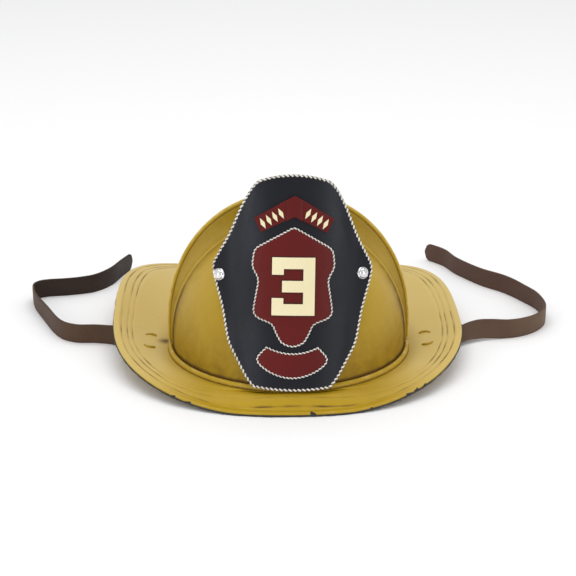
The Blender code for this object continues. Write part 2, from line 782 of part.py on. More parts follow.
def shield_fixings(finishes, face, crown_front, parent):
    """Screw, spacer, wedge washer and nut at each side of the shield."""
    outer = dome_block("cut_dome_outer", GAP, parent)
    inner = dome_block("cut_dome_inner", -CROWN_WALL - GAP, parent)
    hole = SCREW_RADIUS + BORE_CLEARANCE
    for name, sign in (("left", -1), ("right", 1)):
        across = sign * SCREW_ACROSS
        place = on_shield(across, SCREW_UP, 0)
        axis = shield_normal(across)
        wedge_back = -wedge_seat(place, axis)
        seat = wedge_back - GAP
        end = seat - NUT_THICK - SCREW_BEYOND
        head, rise = SCREW_HEAD, SCREW_HEAD_RISE
        profile = [(0, end), (SCREW_RADIUS, end), (SCREW_RADIUS, GAP), (head, GAP),
                   (head, GAP + 0.25 * rise), (0.85 * head, GAP + 0.65 * rise), (0.5 * head, GAP + 0.93 * rise),
                   (0, GAP + rise)]
        turned("shield_screw_" + name, profile, 16, finishes["chrome"], parent, place, axis)
        bore = cutter(turned("cut_bore_" + name, rod_profile(hole, wedge_back, 0.001), 16, None, parent, place,
                             axis))
        cut(face, bore)
        cut(crown_front, bore)
        spacer = turned("shield_spacer_" + name,
                        tube_profile(hole, SPACER_RADIUS, wedge_back, -SHIELD_THICK - GAP), 16,
                        finishes["rubber"], parent, place, axis)
        cut(spacer, outer)
        wedge = turned("shield_wedge_washer_" + name,
                       tube_profile(hole, WEDGE_RADIUS, wedge_back, -SHIELD_THICK), 16,
                       finishes["rubber"], parent, place, axis)
        cut(wedge, inner, "INTERSECT")
        across_corners = hole / math.cos(math.pi / 6)
        turned("shield_nut_" + name,
               tube_profile(across_corners, across_corners + NUT_WALL, seat - NUT_THICK, seat), 6,
               finishes["steel"], parent, place, axis)


# Chin straps

def smooth_route(points, step):
    """Points about a step apart on the smooth curve through the given ones (Catmull-Rom)."""
    points = np.asarray(points, float)
    ends = np.vstack([2 * points[0] - points[1], points, 2 * points[-1] - points[-2]])
    fine = []
    for a, b, c, d in zip(ends[:-3], ends[1:-2], ends[2:-1], ends[3:]):
        for t in np.linspace(0, 1, 12, endpoint=False):
            fine.append(b + t * (c - a) / 2 + t**2 * (a - 2.5 * b + 2 * c - d / 2)
                        + t**3 * (1.5 * b - a / 2 - 1.5 * c + d / 2))
    fine = np.array(fine + [points[-1]])
    along = np.concatenate([[0], np.cumsum(np.linalg.norm(np.diff(fine, axis=0), axis=1))])
    at = np.linspace(0, along[-1], max(2, round(along[-1] / step) + 1))
    return np.stack([np.interp(at, along, fine[:, k]) for k in range(fine.shape[1])], 1), at


def strap_stations(route, twist):
    """Sections of a strap, measured from its hanger's bar with x outwards: tail, loop round the bar, then its lie."""
    loop = HANGER_WIRE + STRAP_LOOP_GAP + STRAP_THICK / 2
    flat_z = -loop
    tail_z = flat_z + STRAP_THICK + GAP
    table = STRAP_REST + STRAP_WIDTH / 2 - HANGER_BAR_Z
    bead_under = EDGE_HIGH - BRIM_THICK - GAP - EDGE_BEAD_HEIGHT - STRAP_CLEAR
    brim_end = BRIM_SIDE - HANGER_OUT + EDGE_BEAD_PROUD + STRAP_STEP

    def middle_height(turn):
        lift = HANGER_BAR_Z * (math.cos(turn) + math.sin(turn) - 1)
        return flat_z * math.cos(turn) + table * math.sin(turn) + lift

    def fits_under(turn):
        return HANGER_BAR_Z + middle_height(turn) + STRAP_WIDTH / 2 * math.sin(turn) < bead_under

    most_turn = ray_end(fits_under, math.pi / 2)
    path = [(STRAP_TAIL, 0, tail_z), (0.006, 0, tail_z + 0.0001), (0.003, 0, 0.4 * loop + 0.6 * tail_z + 0.0006)]
    for turn in np.linspace(70, 270, 9):
        path.append((loop * math.cos(math.radians(turn)), 0, loop * math.sin(math.radians(turn))))
    flat, along = smooth_route(route, STRAP_STEP)
    width, centre = [(0, 1, 0)] * len(path), [np.array(p) for p in path]
    direction = np.gradient(flat, axis=0)
    direction /= np.linalg.norm(direction, axis=1)[:, None]
    for (x, y), (dx, dy), s in zip(flat[1:], direction[1:], along[1:]):
        share = min(max((s - twist[0]) / (twist[1] - twist[0]), 0), 1)
        turn = math.pi / 2 * share * share * (3 - 2 * share)
        if x < brim_end:
            turn = min(turn, most_turn)
        centre.append(np.array([x, y, middle_height(turn)]))
        width.append((-dy * math.cos(turn), dx * math.cos(turn), math.sin(turn)))
    half_width, half_thick = STRAP_WIDTH / 2, STRAP_THICK / 2
    section = [(-half_width, -half_thick), (half_width, -half_thick), (half_width, half_thick),
               (-half_width, half_thick)]
    return follow(centre, width, section)


def chin_strap(name, sign, route, twist, finishes, parent):
    stations = strap_stations(route, twist)
    stations[:, :, 0] *= sign
    strap = sweep("chin_strap_" + name, stations, False, finishes["strap leather"], parent)
    loop = HANGER_WIRE + STRAP_LOOP_GAP + STRAP_THICK / 2
    low = -loop - STRAP_THICK / 2 - GAP
    high = -loop + 1.5 * STRAP_THICK + 3 * GAP
    shank, head, thick = RIVET_SHANK, RIVET_HEAD, RIVET_HEAD_THICK
    place = (sign * RIVET_OUT, 0, 0)
    profile = [(0, low - thick), (0.7 * head, low - thick), (head, low - 0.4 * thick), (head, low), (shank, low),
               (shank, high), (head, high), (head, high + 0.4 * thick), (0.7 * head, high + thick),
               (0, high + thick)]
    turned("strap_rivet_" + name, profile, 12, finishes["steel"], parent, place)
    bore = cutter(turned("cut_strap_" + name, rod_profile(shank + BORE_CLEARANCE, low - 0.001, high + 0.001), 12,
                         None, parent, place))
    cut(strap, bore)


def strap_hanger(name, sign, finishes, brim_plate, parent):
    """A wire staple through the brim, its ends clinched on top, its bar below."""
    x = sign * (CROWN_HALF_WIDTH + HANGER_OUT)
    top = brim_height_at_side(x) + HANGER_WIRE + 0.0006
    corner, half = HANGER_CORNER, HANGER_HALF
    bow = [(half - HANGER_CLINCH, top), (half - corner, top), (half - 0.3 * corner, top - 0.3 * corner),
           (half, top - corner), (half, HANGER_BAR_Z + corner),
           (half - 0.3 * corner, HANGER_BAR_Z + 0.3 * corner), (half - corner, HANGER_BAR_Z)]
    bow += [(-y, z) for y, z in reversed(bow)]
    path = [(x, HANGER_Y + y, z) for y, z in bow]
    stations = follow(path, [(1, 0, 0)] * len(path), round_section(HANGER_WIRE, 8))
    sweep("strap_hanger_" + name, stations, False, finishes["steel"], parent)
    for end in (-1, 1):
        place = (x, HANGER_Y + end * half, 0)
        bore = turned(f"cut_hanger_{name}_{end + 1}",
                      rod_profile(HANGER_WIRE + BORE_CLEARANCE, HANGER_BAR_Z, top + 0.005), 12, None, parent, place)
        cut(brim_plate, cutter(bore))


# Liner

def liner(finishes, parent):
    hoop = egg_hoop("crown_hoop", band(RING_INSET, RING_THICK, RING_SPAN), finishes["steel"], parent)
    headband = egg_hoop("headband", band(HEADBAND_INSET, HEADBAND_THICK, HEADBAND_SPAN), finishes["plastic"],
                        parent)
    egg_hoop("sweatband", band(SWEATBAND_INSET, SWEATBAND_THICK, SWEATBAND_SPAN), finishes["sweat leather"],
             parent)
    turned("crown_pad", rod_profile(PAD_RADIUS, -PAD_THICK, 0), 24, finishes["sweat leather"], parent,
           (0, LINER_MIDDLE, CRADLE_TOP - CRADLE_THICK / 2 - GAP))
    a, b, t = -CLIP_INSET, -BAND_TAB_INSET, CLIP_THICK
    clip = [(a, CLIP_FOOT), (a, CLIP_STEP + t), (b, CLIP_STEP + t), (b, CLIP_TOP), (b - t, CLIP_TOP),
            (b - t, CLIP_STEP), (a - t, CLIP_STEP), (a - t, CLIP_FOOT)]
    for number, degrees in enumerate(CLIP_ANGLES, 1):
        angle = math.radians(degrees)
        half = CLIP_HALF / np.linalg.norm(egg(angle))
        holder = egg_hoop(f"liner_clip_{number}", clip, finishes["steel"], parent, angle, half)
        strap = cradle_strap(number, angle, finishes["webbing"], parent)
        for name, height, first, last, outer_head, pieces in (
            ("hoop", HOOP_RIVET_Z, RING_INSET + 0.0002, CLIP_INSET + t + GAP, False, (hoop, holder)),
            ("band", BAND_RIVET_Z, BAND_TAB_INSET - GAP, HEADBAND_INSET + HEADBAND_THICK + GAP, True,
             (holder, strap, headband)),
        ):
            liner_rivet(f"{name}_rivet_{number}", angle, height, first, last, outer_head, pieces, finishes, parent)


def liner_rivet(name, angle, height, first, last, outer_head, pieces, finishes, parent):
    """A rivet along the foot outline's normal, from one inset to another, with holes cut for it."""
    normal = egg(angle, 1) - egg(angle)
    axis = (-normal[0], -normal[1], 0)
    place = (*egg(angle), height)
    shank, head, thick = RIVET_SHANK, RIVET_HEAD, RIVET_HEAD_THICK
    profile = [(0, first), (shank, first)]
    if outer_head:
        profile = [(0, first - thick), (0.7 * head, first - thick), (head, first - 0.4 * thick), (head, first),
                   (shank, first)]
    profile += [(shank, last), (head, last), (head, last + 0.4 * thick), (0.7 * head, last + thick),
                (0, last + thick)]
    turned(name, profile, 10, finishes["steel"], parent, place, axis)
    bore = cutter(turned("cut_" + name, rod_profile(shank + BORE_CLEARANCE, first - 0.0004, last + 0.0004), 10,
                         None, parent, place, axis))
    for piece in pieces:
        cut(piece, bore)


def cradle_strap(number, angle, finish, parent):
    """Webbing from the headband up to the crown pad."""
    foot = egg(angle, -CRADLE_INSET - CRADLE_THICK / 2)
    middle = np.array([0, LINER_MIDDLE])
    out = (foot - middle) / np.linalg.norm(foot - middle)
    far = np.linalg.norm(foot - middle)
    normal = egg(angle, 1) - egg(angle)
    path = [(*foot, z) for z in (CRADLE_FOOT, 0.5 * (CRADLE_FOOT + CLIP_TOP), CLIP_TOP)]
    for lift in np.radians(np.linspace(0, 90, 9)[1:]):
        away = CRADLE_FLAT + (far - CRADLE_FLAT) * math.cos(lift)
        path.append((*(middle + out * away), CLIP_TOP + (CRADLE_TOP - CLIP_TOP) * math.sin(lift)))
    path.append((*(middle + out * CRADLE_END), CRADLE_TOP))
    share = np.linspace(0, 1, len(path) - 3)[:, None]
    low, high = np.array([-normal[1], normal[0], 0]), np.array([-out[1], out[0], 0])
    width = np.vstack([[low] * 3, low + (high - low) * share])
    half_width, half_thick = CRADLE_WIDTH / 2, CRADLE_THICK / 2
    section = [(-half_width, -half_thick), (half_width, -half_thick), (half_width, half_thick),
               (-half_width, half_thick)]
    return sweep(f"cradle_strap_{number}", follow(path, width, section), False, finish, parent)


def main():
    clear_scene()
    finishes = {
        "yellow": material("yellow paint", (0.47, 0.28, 0.05), 0.42),
        "rubber": material("black rubber", (0.02, 0.02, 0.02), 0.6),
        "shield leather": material("shield leather", (0.025, 0.025, 0.032), 0.45),
        "red leather": material("red leather", (0.115, 0.015, 0.014), 0.5),
        "cream": material("cream leather", (0.82, 0.75, 0.5), 0.5),
        "cord": material("white cord", (0.75, 0.72, 0.66), 0.8),
        "chrome": material("chrome", (0.8, 0.8, 0.8), 0.15, 1.0),
        "steel": material("zinc steel", (0.5, 0.48, 0.44), 0.4, 1.0),
        "strap leather": material("strap leather", (0.06, 0.035, 0.022), 0.6),
        "plastic": material("liner plastic", (0.02, 0.02, 0.02), 0.45),
        "sweat leather": material("sweatband leather", (0.16, 0.085, 0.04), 0.6),
        "webbing": material("cradle webbing", (0.2, 0.19, 0.16), 0.8),
    }
    helmet = empty("helmet", (0, (FRONT_REACH - REAR_REACH) / 2, 0))
    crown_front = crown_half("crown_front", True, finishes["yellow"], helmet)
    crown_half("crown_rear", False, finishes["yellow"], helmet)
    comb_roll(finishes["yellow"], helmet)
    base_bead(finishes["yellow"], helmet)
    brim_plate = brim(finishes["yellow"], helmet)
    brim_edge_bead(finishes["rubber"], helmet)
    face = shield(finishes, helmet)
    shield_fixings(finishes, face, crown_front, helmet)
    liner(finishes, helmet)
    for name, sign, route, twist in (("left", -1, LEFT_ROUTE, LEFT_TWIST), ("right", 1, RIGHT_ROUTE, RIGHT_TWIST)):
        strap_hanger(name, sign, finishes, brim_plate, helmet)
        bar = empty(name + "_strap_axis", (sign * (CROWN_HALF_WIDTH + HANGER_OUT), HANGER_Y, HANGER_BAR_Z), helmet)
        chin_strap(name, sign, route, twist, finishes, bar)


main()
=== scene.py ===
"""The finished look of a traditional firefighter helmet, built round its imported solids.

The crown, comb and brim are painted sheet metal, the front shield is leather edged with twisted cord, the
liner is webbing and leather, and two chin straps lie loose on the table. Metres, +Z up, the shield faces -Y."""

import sys
import json
import logging
import math
from collections.abc import Callable, Sequence
from dataclasses import dataclass, field
from enum import Enum

import bmesh
import bpy
import numpy as np
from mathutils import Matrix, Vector


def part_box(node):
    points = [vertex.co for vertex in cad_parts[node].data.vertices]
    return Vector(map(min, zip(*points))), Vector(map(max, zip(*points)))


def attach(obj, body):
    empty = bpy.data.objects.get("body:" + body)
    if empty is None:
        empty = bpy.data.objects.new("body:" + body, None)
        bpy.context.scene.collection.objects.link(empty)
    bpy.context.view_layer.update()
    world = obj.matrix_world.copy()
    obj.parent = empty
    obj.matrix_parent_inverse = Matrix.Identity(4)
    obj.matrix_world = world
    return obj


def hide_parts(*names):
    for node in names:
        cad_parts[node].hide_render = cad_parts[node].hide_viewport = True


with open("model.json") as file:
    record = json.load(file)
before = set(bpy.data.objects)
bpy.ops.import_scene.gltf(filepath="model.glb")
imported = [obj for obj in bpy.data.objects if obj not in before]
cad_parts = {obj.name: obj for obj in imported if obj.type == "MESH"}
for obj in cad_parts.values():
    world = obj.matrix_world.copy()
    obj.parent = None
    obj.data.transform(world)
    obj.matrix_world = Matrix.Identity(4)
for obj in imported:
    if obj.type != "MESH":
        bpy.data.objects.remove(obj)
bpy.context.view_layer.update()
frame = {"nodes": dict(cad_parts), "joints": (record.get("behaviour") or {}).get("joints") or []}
LOG = logging.getLogger("helmet")
HELMET = "helmet"
GAP = 0.0003
TAU = 2 * math.pi
WELD = 2e-6
BEVEL_FROM = math.radians(50)
RIVET_HEAD, RIVET_DOME, RIVET_SHANK = 0.0030, 0.0010, 0.0014
Array = np.ndarray
Object = bpy.types.Object
Material = bpy.types.Material
Socket = bpy.types.NodeSocket
Outline = Sequence[tuple[float, float]]
Triple = tuple[float, float, float]


# Arrays and meshes

def unit(vectors: Array) -> Array:
    """Each vector divided by its own length."""
    return vectors / np.maximum(np.linalg.norm(vectors, axis=-1, keepdims=True), 1e-12)


def bump(distance: Array | float, middle: float, width: float) -> Array:
    """A smooth bell: e to the minus square of (distance - middle) / width."""
    return np.exp(-(((np.asarray(distance) - middle) / width) ** 2))


def smooth_share(values: Array | float, low: float, high: float) -> Array:
    """A smooth step, 3t^2 - 2t^3, of how far each value is from low to high."""
    t = np.clip((np.asarray(values) - low) / (high - low), 0, 1)
    return t * t * (3 - 2 * t)


def grid_faces(rows: int, columns: int, wrap: bool, wrap_rows: bool = False, first: int = 0) -> Array:
    """Quads of a grid of points kept row by row.

    Args:
        rows: number of rows.
        columns: points in each row.
        wrap: whether the last column joins the first.
        wrap_rows: whether the last row joins the first.
        first: number of the grid's first point.

    Returns:
        One row of four point numbers for each quad.
    """
    i = np.arange(rows if wrap_rows else rows - 1)[:, None]
    j = np.arange(columns if wrap else columns - 1)[None, :]
    k, down = (j + 1) % columns, (i + 1) % rows
    quads = np.stack(np.broadcast_arrays(i * columns + j, i * columns + k, down * columns + k,
                                         down * columns + j), -1)
    return quads.reshape(-1, 4) + first


class Shape:
    """Points and faces gathered from several surfaces, with named numbers such as wear on each point."""

    def __init__(self) -> None:
        """Starts empty."""
        self.points: list[Array] = []
        self.faces: list[tuple[int, ...]] = []
        self.slots: list[int] = []
        self.tones: dict[str, list[Array]] = {}
        self.count = 0

    def _add(self, points: Array, faces: list[tuple[int, ...]], slot: int, tones: dict) -> None:
        """Keeps the points, their faces and their tones; a tone that a surface lacks is 0 there."""
        flat = np.asarray(points, float).reshape(-1, 3)
        self.points.append(flat)
        self.faces += faces
        self.slots += [slot] * len(faces)
        for name in set(self.tones) | set(tones):
            column = self.tones.setdefault(name, [np.zeros(self.count)] if self.count else [])
            value = tones.get(name, 0.0)
            column.append(np.broadcast_to(value, points.shape[:-1]).reshape(-1).astype(float))
        self.count += len(flat)

    def grid(self, points: Array, wrap: bool = False, wrap_rows: bool = False, caps: bool = False,
             slot: int = 0, **tones: Array | float) -> "Shape":
        """Adds one grid of points as quads.

        Args:
            points: rows by columns by three.
            wrap: whether each row is a closed ring.
            wrap_rows: whether the last row joins the first.
            caps: whether the first and the last ring are filled.
            slot: which of the piece's materials it takes.
            tones: numbers kept on the points under each name.

        Returns:
            The shape itself.
        """
        rows, columns = points.shape[:2]
        faces = [tuple(face) for face in grid_faces(rows, columns, wrap, wrap_rows, self.count).tolist()]
        if caps:
            last = self.count + (rows - 1) * columns
            faces += [tuple(range(self.count, self.count + columns)), tuple(range(last, last + columns))]
        self._add(points, faces, slot, tones)
        return self

    def slab(self, outer: Array, inner: Array, slot: int = 0, **tones: Array | float) -> "Shape":
        """Adds the solid between two open grids, walled round their edges.

        Args:
            outer: the outer grid of points.
            inner: the inner grid, of the same size.
            slot: which of the piece's materials it takes.
            tones: numbers kept on the points of the outer grid and used again for the inner one.

        Returns:
            The shape itself.
        """
        rows, columns = outer.shape[:2]
        size = rows * columns
        top = grid_faces(rows, columns, False, False, self.count)
        faces = [tuple(face) for face in np.concatenate([top, top + size]).tolist()]
        number = np.arange(size).reshape(rows, columns)
        edge = np.concatenate([number[0], number[1:, -1], number[-1, -2::-1], number[-2:0:-1, 0]]) + self.count
        beyond = np.roll(edge, -1)
        walls = [tuple(face) for face in np.stack([edge, beyond, beyond + size, edge + size], 1).tolist()]
        self._add(np.stack([outer, inner]), faces, slot, {k: np.stack([v, v]) if np.ndim(v) else v
                                                         for k, v in tones.items()})
        self.faces += walls
        self.slots += [slot] * len(walls)
        return self


@dataclass
class Maker:
    """Turns shapes into pieces of the object."""

    count: int = 0

    def piece(self, name: str, shape: Shape, finishes: Sequence[Material], *, body: str = HELMET,
              replaces: Sequence[str] = (), sharp: float = 40.0,
              round_edge: float = 0.0) -> Object:
        """One finished piece that rides on its body.

        Args:
            name: the piece's name.
            shape: its points and faces.
            finishes: its materials, in the order of the shape's slots.
            body: the body that carries it.
            replaces: the solids that it stands for.
            sharp: angle in degrees past which an edge stays sharp.
            round_edge: width of the bevel on sharp edges, none at 0.

        Returns:
            The new object.
        """
        mesh = bpy.data.meshes.new(name)
        mesh.from_pydata(np.concatenate(shape.points).tolist(), [], shape.faces)
        mesh.polygons.foreach_set("material_index", np.array(shape.slots, np.int32))
        for tone, columns in shape.tones.items():
            layer = mesh.attributes.new(tone, "FLOAT", "POINT")
            layer.data.foreach_set("value", np.concatenate(columns).astype(np.float32))
        welded = bmesh.new()
        welded.from_mesh(mesh)
        bmesh.ops.remove_doubles(welded, verts=welded.verts, dist=WELD)
        bmesh.ops.recalc_face_normals(welded, faces=welded.faces)
        welded.to_mesh(mesh)
        welded.free()
        for finish in finishes:
            mesh.materials.append(finish)
        mesh.shade_smooth()
        mesh.set_sharp_from_angle(angle=math.radians(sharp))
        made = bpy.data.objects.new(name, mesh)
        bpy.context.scene.collection.objects.link(made)
        if round_edge:
            bevel = made.modifiers.new("rounded edges", "BEVEL")
            bevel.width, bevel.segments, bevel.limit_method = round_edge, 2, "ANGLE"
            bevel.angle_limit = BEVEL_FROM
        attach(made, body)
        if replaces:
            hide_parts(*replaces)
        self.count += 1
        LOG.info("%s: %d faces", name, len(mesh.polygons))
        return made


MAKER = Maker()


def frames_along(path: Array, side: Array, closed: bool) -> tuple[Array, Array, Array]:
    """Directions at each point of a path.

    Args:
        path: the points.
        side: a direction at each point that the first normal is nearest to.
        closed: whether the path joins up.

    Returns:
        The tangent, the normal nearest to side, and their cross product.
    """
    along = np.roll(path, -1, 0) - np.roll(path, 1, 0) if closed else np.gradient(path, axis=0)
    along = unit(along)
    normal = unit(side - (side * along).sum(1)[:, None] * along)
    return along, normal, np.cross(along, normal)


def carry(path: Array, side: Array, section: Array, closed: bool = False) -> Array:
    """A section carried along a path: path + normal times its first column + binormal times its second.

    Args:
        path: the points.
        side: a direction at each point that the section's first column follows.
        section: (first, second) offsets, the same for all points or one set for each.
        closed: whether the path joins up.

    Returns:
        A grid of points, one row for each point of the path.
    """
    _, normal, across = frames_along(path, side, closed)
    section = np.broadcast_to(section, (len(path), *np.shape(section)[-2:]))
    return path[:, None] + normal[:, None] * section[..., :1] + across[:, None] * section[..., 1:]


def circle(radius: float, sides: int) -> Array:
    """Points round a circle, as (cosine, sine) times the radius."""
    turn = np.linspace(0, TAU, sides, endpoint=False)
    return radius * np.stack([np.cos(turn), np.sin(turn)], 1)


def soft_box(width: float, height: float, sides: int = 16, fullness: float = 5.0) -> Array:
    """A rectangle with rounded corners: a superellipse of the given fullness.

    Args:
        width: size of the first column.
        height: size of the second column.
        sides: number of points.
        fullness: the superellipse's power.

    Returns:
        Points round the outline.
    """
    turn = np.linspace(0, TAU, sides, endpoint=False) + TAU / sides / 2
    c, s = np.cos(turn), np.sin(turn)
    return np.stack([width / 2 * np.sign(c) * np.abs(c) ** (2 / fullness),
                     height / 2 * np.sign(s) * np.abs(s) ** (2 / fullness)], 1)


def lathe(place: Vector, axis: Vector, profile: Outline, sides: int = 28) -> Array:
    """A turned grid: each (radius, height) of the profile spun about the axis.

    Args:
        place: the point at height 0.
        axis: the direction of the axis.
        profile: radius and height of each ring.
        sides: points in each ring.

    Returns:
        A grid of points, one row for each ring.
    """
    turn = np.array(Vector((0, 0, 1)).rotation_difference(Vector(axis)).to_matrix())
    outline = np.array(profile, float)
    ring = circle(1.0, sides)
    flat = outline[:, None, :1] * ring[None]
    up = np.broadcast_to(outline[:, None, 1:], (*flat.shape[:2], 1))
    return np.concatenate([flat, up], -1) @ turn.T + np.array(place)


def rivet_cap(rings: int) -> list[tuple[float, float]]:
    """A domed rivet head as (radius, height): a quarter ellipse from its rim to its top."""
    turn = np.linspace(0, math.pi / 2, rings)
    return [(RIVET_HEAD * math.cos(t), RIVET_DOME * math.sin(t)) for t in turn]


def run_along(path: Array) -> Array:
    """The length of a path up to each of its points."""
    return np.concatenate([[0], np.cumsum(np.linalg.norm(np.diff(path, axis=0), axis=1))])


def even_path(points: Array, step: float, closed: bool) -> Array:
    """Points about a step apart along a polyline, by straight interpolation over its length.

    Args:
        points: the polyline's corners.
        step: wanted spacing.
        closed: whether it joins up.

    Returns:
        The points.
    """
    points = np.vstack([points, points[:1]]) if closed else points
    along = run_along(points)
    count = max(4, round(along[-1] / step))
    at = np.linspace(0, along[-1], count + 1)
    at = at[:-1] if closed else at
    return np.stack([np.interp(at, along, points[:, k]) for k in range(points.shape[1])], 1)


def catmull_rom(points: Array, steps: int) -> Array:
    """The smooth curve through points, each stretch a cubic whose ends lean as their neighbours do.

    Args:
        points: the points it goes through.
        steps: points made for each stretch.

    Returns:
        Points along the curve, with both ends.
    """
    points = np.asarray(points, float)
    ends = np.vstack([2 * points[0] - points[1], points, 2 * points[-1] - points[-2]])
    a, b, c, d = (ends[i:len(ends) - 3 + i, None] for i in range(4))
    t = np.linspace(0, 1, steps, endpoint=False)[None, :, None]
    curve = (b + t * (c - a) / 2 + t**2 * (a - 2.5 * b + 2 * c - d / 2)
             + t**3 * (1.5 * b - a / 2 - 1.5 * c + d / 2))
    return np.vstack([curve.reshape(-1, points.shape[1]), points[-1:]])


# Finishes

class Nodes:
    """A node tree that is being wired."""

    def __init__(self, tree: bpy.types.NodeTree) -> None:
        """Keeps the tree."""
        self.tree = tree

    def add(self, kind: str, settings: dict | None = None, **inputs: object) -> bpy.types.Node:
        """A new node.

        Args:
            kind: the node's type, without the word ShaderNode.
            settings: properties of the node itself.
            inputs: a value or a socket for each input, named with _ for each space, or in_ and its number.

        Returns:
            The node.
        """
        node = self.tree.nodes.new(kind if kind.startswith("NodeGroup") else "ShaderNode" + kind)
        for key, value in (settings or {}).items():
            setattr(node, key, value)
        for key, value in inputs.items():
            socket = node.inputs[int(key[3:])] if key.startswith("in_") else node.inputs[key.replace("_", " ")]
            if isinstance(value, Socket):
                self.tree.links.new(value, socket)
            elif isinstance(value, tuple) and socket.type == "RGBA":
                socket.default_value = (*value, 1.0)
            else:
                socket.default_value = value
        return node

    def math(self, operation: str, a: object, b: object = 0.0) -> Socket:
        """The result of a Math node."""
        return self.add("Math", {"operation": operation}, in_0=a, in_1=b).outputs[0]

    def plus(self, a: object, b: object) -> Socket:
        """The sum of two values."""
        return self.math("ADD", a, b)

    def times(self, a: object, b: object) -> Socket:
        """The product of two values."""
        return self.math("MULTIPLY", a, b)

    def mix(self, share: object, a: object, b: object) -> Socket:
        """Two colours mixed by a share."""
        return self.add("Mix", {"data_type": "RGBA"}, in_0=share, in_6=a, in_7=b).outputs[2]

    def ramp(self, value: Socket, low: float, high: float) -> Socket:
        """A value stretched from low..high to 0..1, smoothly and within those limits."""
        return self.add("MapRange", {"interpolation_type": "SMOOTHSTEP"}, Value=value, From_Min=low,
                        From_Max=high).outputs[0]

    def noise(self, place: object, scale: float, detail: float = 3.0, rough: float = 0.55) -> Socket:
        """The value of a noise pattern."""
        return self.add("TexNoise", None, Vector=place, Scale=scale, Detail=detail, Roughness=rough).outputs[0]

    def place(self) -> Socket:
        """Object coordinates."""
        return self.add("TexCoord").outputs["Object"]

    def tone(self, name: str) -> Socket:
        """The number kept on the mesh under a name."""
        return self.add("Attribute", {"attribute_name": name}).outputs["Fac"]


class Effect(Enum):
    """The surface effects that several finishes share, each a node group."""

    WEATHER = "weathering"
    GRAIN = "leather grain"
    STRANDS = "twisted strands"


def group_of(name: str, inputs: dict[str, float | tuple], outputs: dict[str, str],
             wire: Callable[[Nodes, dict], dict]) -> bpy.types.NodeTree:
    """A shader node group.

    Args:
        name: the group's name.
        inputs: each input's default; three numbers make a colour or, for Place, a vector.
        outputs: each output's socket type.
        wire: makes the nodes from the inputs' sockets and returns the outputs' sockets.

    Returns:
        The group.
    """
    tree = bpy.data.node_groups.new(name, "ShaderNodeTree")
    for key, value in inputs.items():
        vector = key == "Place"
        kind = "NodeSocketVector" if vector else "NodeSocketColor" if isinstance(value,
                                                                                 tuple) else "NodeSocketFloat"
        socket = tree.interface.new_socket(key, in_out="INPUT", socket_type=kind)
        if not vector:
            socket.default_value = (*value, 1.0) if isinstance(value, tuple) else value
    for key, kind in outputs.items():
        tree.interface.new_socket(key, in_out="OUTPUT", socket_type=kind)
    nodes = Nodes(tree)
    start = tree.nodes.new("NodeGroupInput")
    end = tree.nodes.new("NodeGroupOutput")
    for key, socket in wire(nodes, {socket.name: socket for socket in start.outputs}).items():
        tree.links.new(socket, end.inputs[key])
    return tree


def wire_weather_and_shade(nodes: Nodes, given: dict) -> dict:
    """Clouds between a light and a dark tone, darkening in the hollows and creases, rubbed edges and small
    specks.

    The darkening is soiling and antique glaze in some places and painted shade in creases and under parts in
    others.
    The darkening and wear numbers are each broken up by noise before they mix their colours in."""
    place = given["Place"]
    clouds = nodes.ramp(nodes.noise(place, 9.0, 4.0), 0.32, 0.72)
    fine = nodes.noise(place, 130.0, 3.0, 0.6)
    streaks = nodes.noise(nodes.add("Mapping", None, Vector=place, Scale=Vector((60, 60, 7))).outputs[0], 1.0,
                          2.0)
    colour = nodes.mix(nodes.times(clouds, given["Cloud"]), given["Base"], given["Shade"])
    colour = nodes.mix(nodes.times(nodes.ramp(streaks, 0.45, 0.8), given["Streak"]), colour, given["Shade"])
    # Darkening: soiling and glaze in some places, painted shade in creases and under parts in others.
    grime = nodes.times(given["Grime"], nodes.plus(0.55, nodes.times(fine, 0.9)))
    colour = nodes.mix(nodes.ramp(grime, 0.05, 0.95), colour, given["Dirt"])
    wear = nodes.ramp(nodes.plus(given["Wear"], nodes.times(nodes.math("SUBTRACT", fine, 0.5), 0.9)),
                      0.35, 0.9)
    colour = nodes.mix(wear, colour, given["Rub"])
    cells = nodes.add("TexVoronoi", None, Vector=place, Scale=260.0)
    rare = nodes.ramp(nodes.noise(place, 34.0, 2.0), 0.6, 0.72)
    near = nodes.ramp(nodes.math("SUBTRACT", 0.3, cells.outputs["Distance"]), 0.0, 0.16)
    specks = nodes.times(near, rare)
    specks = nodes.times(specks, given["Specks"])
    colour = nodes.mix(specks, colour, given["Dirt"])
    mask = nodes.math("MAXIMUM", grime, specks)
    height = nodes.plus(nodes.times(fine, 0.35), nodes.times(clouds, 0.65))
    return {"Color": colour, "Dull": mask, "Worn": wear, "Height": height}


def wire_grain(nodes: Nodes, given: dict) -> dict:
    """Leather: small pebbles between creases, over slow waves, as height and as a mask of the creases."""
    place = nodes.add("VectorMath", {"operation": "SCALE"}, Vector=given["Place"],
                      Scale=given["Scale"]).outputs[0]
    cells = nodes.add("TexVoronoi", {"feature": "DISTANCE_TO_EDGE"}, Vector=place, Scale=1.0, Randomness=1.0)
    crease = nodes.ramp(cells.outputs[0], 0.0, 0.16)
    pores = nodes.noise(place, 3.5, 2.0)
    slow = nodes.noise(given["Place"], 22.0, 3.0)
    height = nodes.plus(nodes.times(crease, 0.6), nodes.times(pores, 0.4))
    height = nodes.plus(nodes.times(height, given["Depth"]), nodes.times(slow, 1.2))
    return {"Height": height, "Crease": nodes.math("SUBTRACT", 1.0, crease), "Slow": nodes.ramp(slow, 0.3, 0.7)}


def wire_strands(nodes: Nodes, given: dict) -> dict:
    """Fibres of a twisted strand: fine stripes that run across the strand's own turn number."""
    wave = nodes.add("Math", {"operation": "SINE"}, in_0=nodes.times(given["Turn"], 75.0)).outputs[0]
    fuzz = nodes.noise(given["Place"], 1400.0, 2.0)
    stains = nodes.ramp(nodes.noise(given["Place"], 45.0, 3.0), 0.42, 0.75)
    return {"Height": nodes.plus(nodes.times(wave, 0.35), fuzz), "Stain": stains}


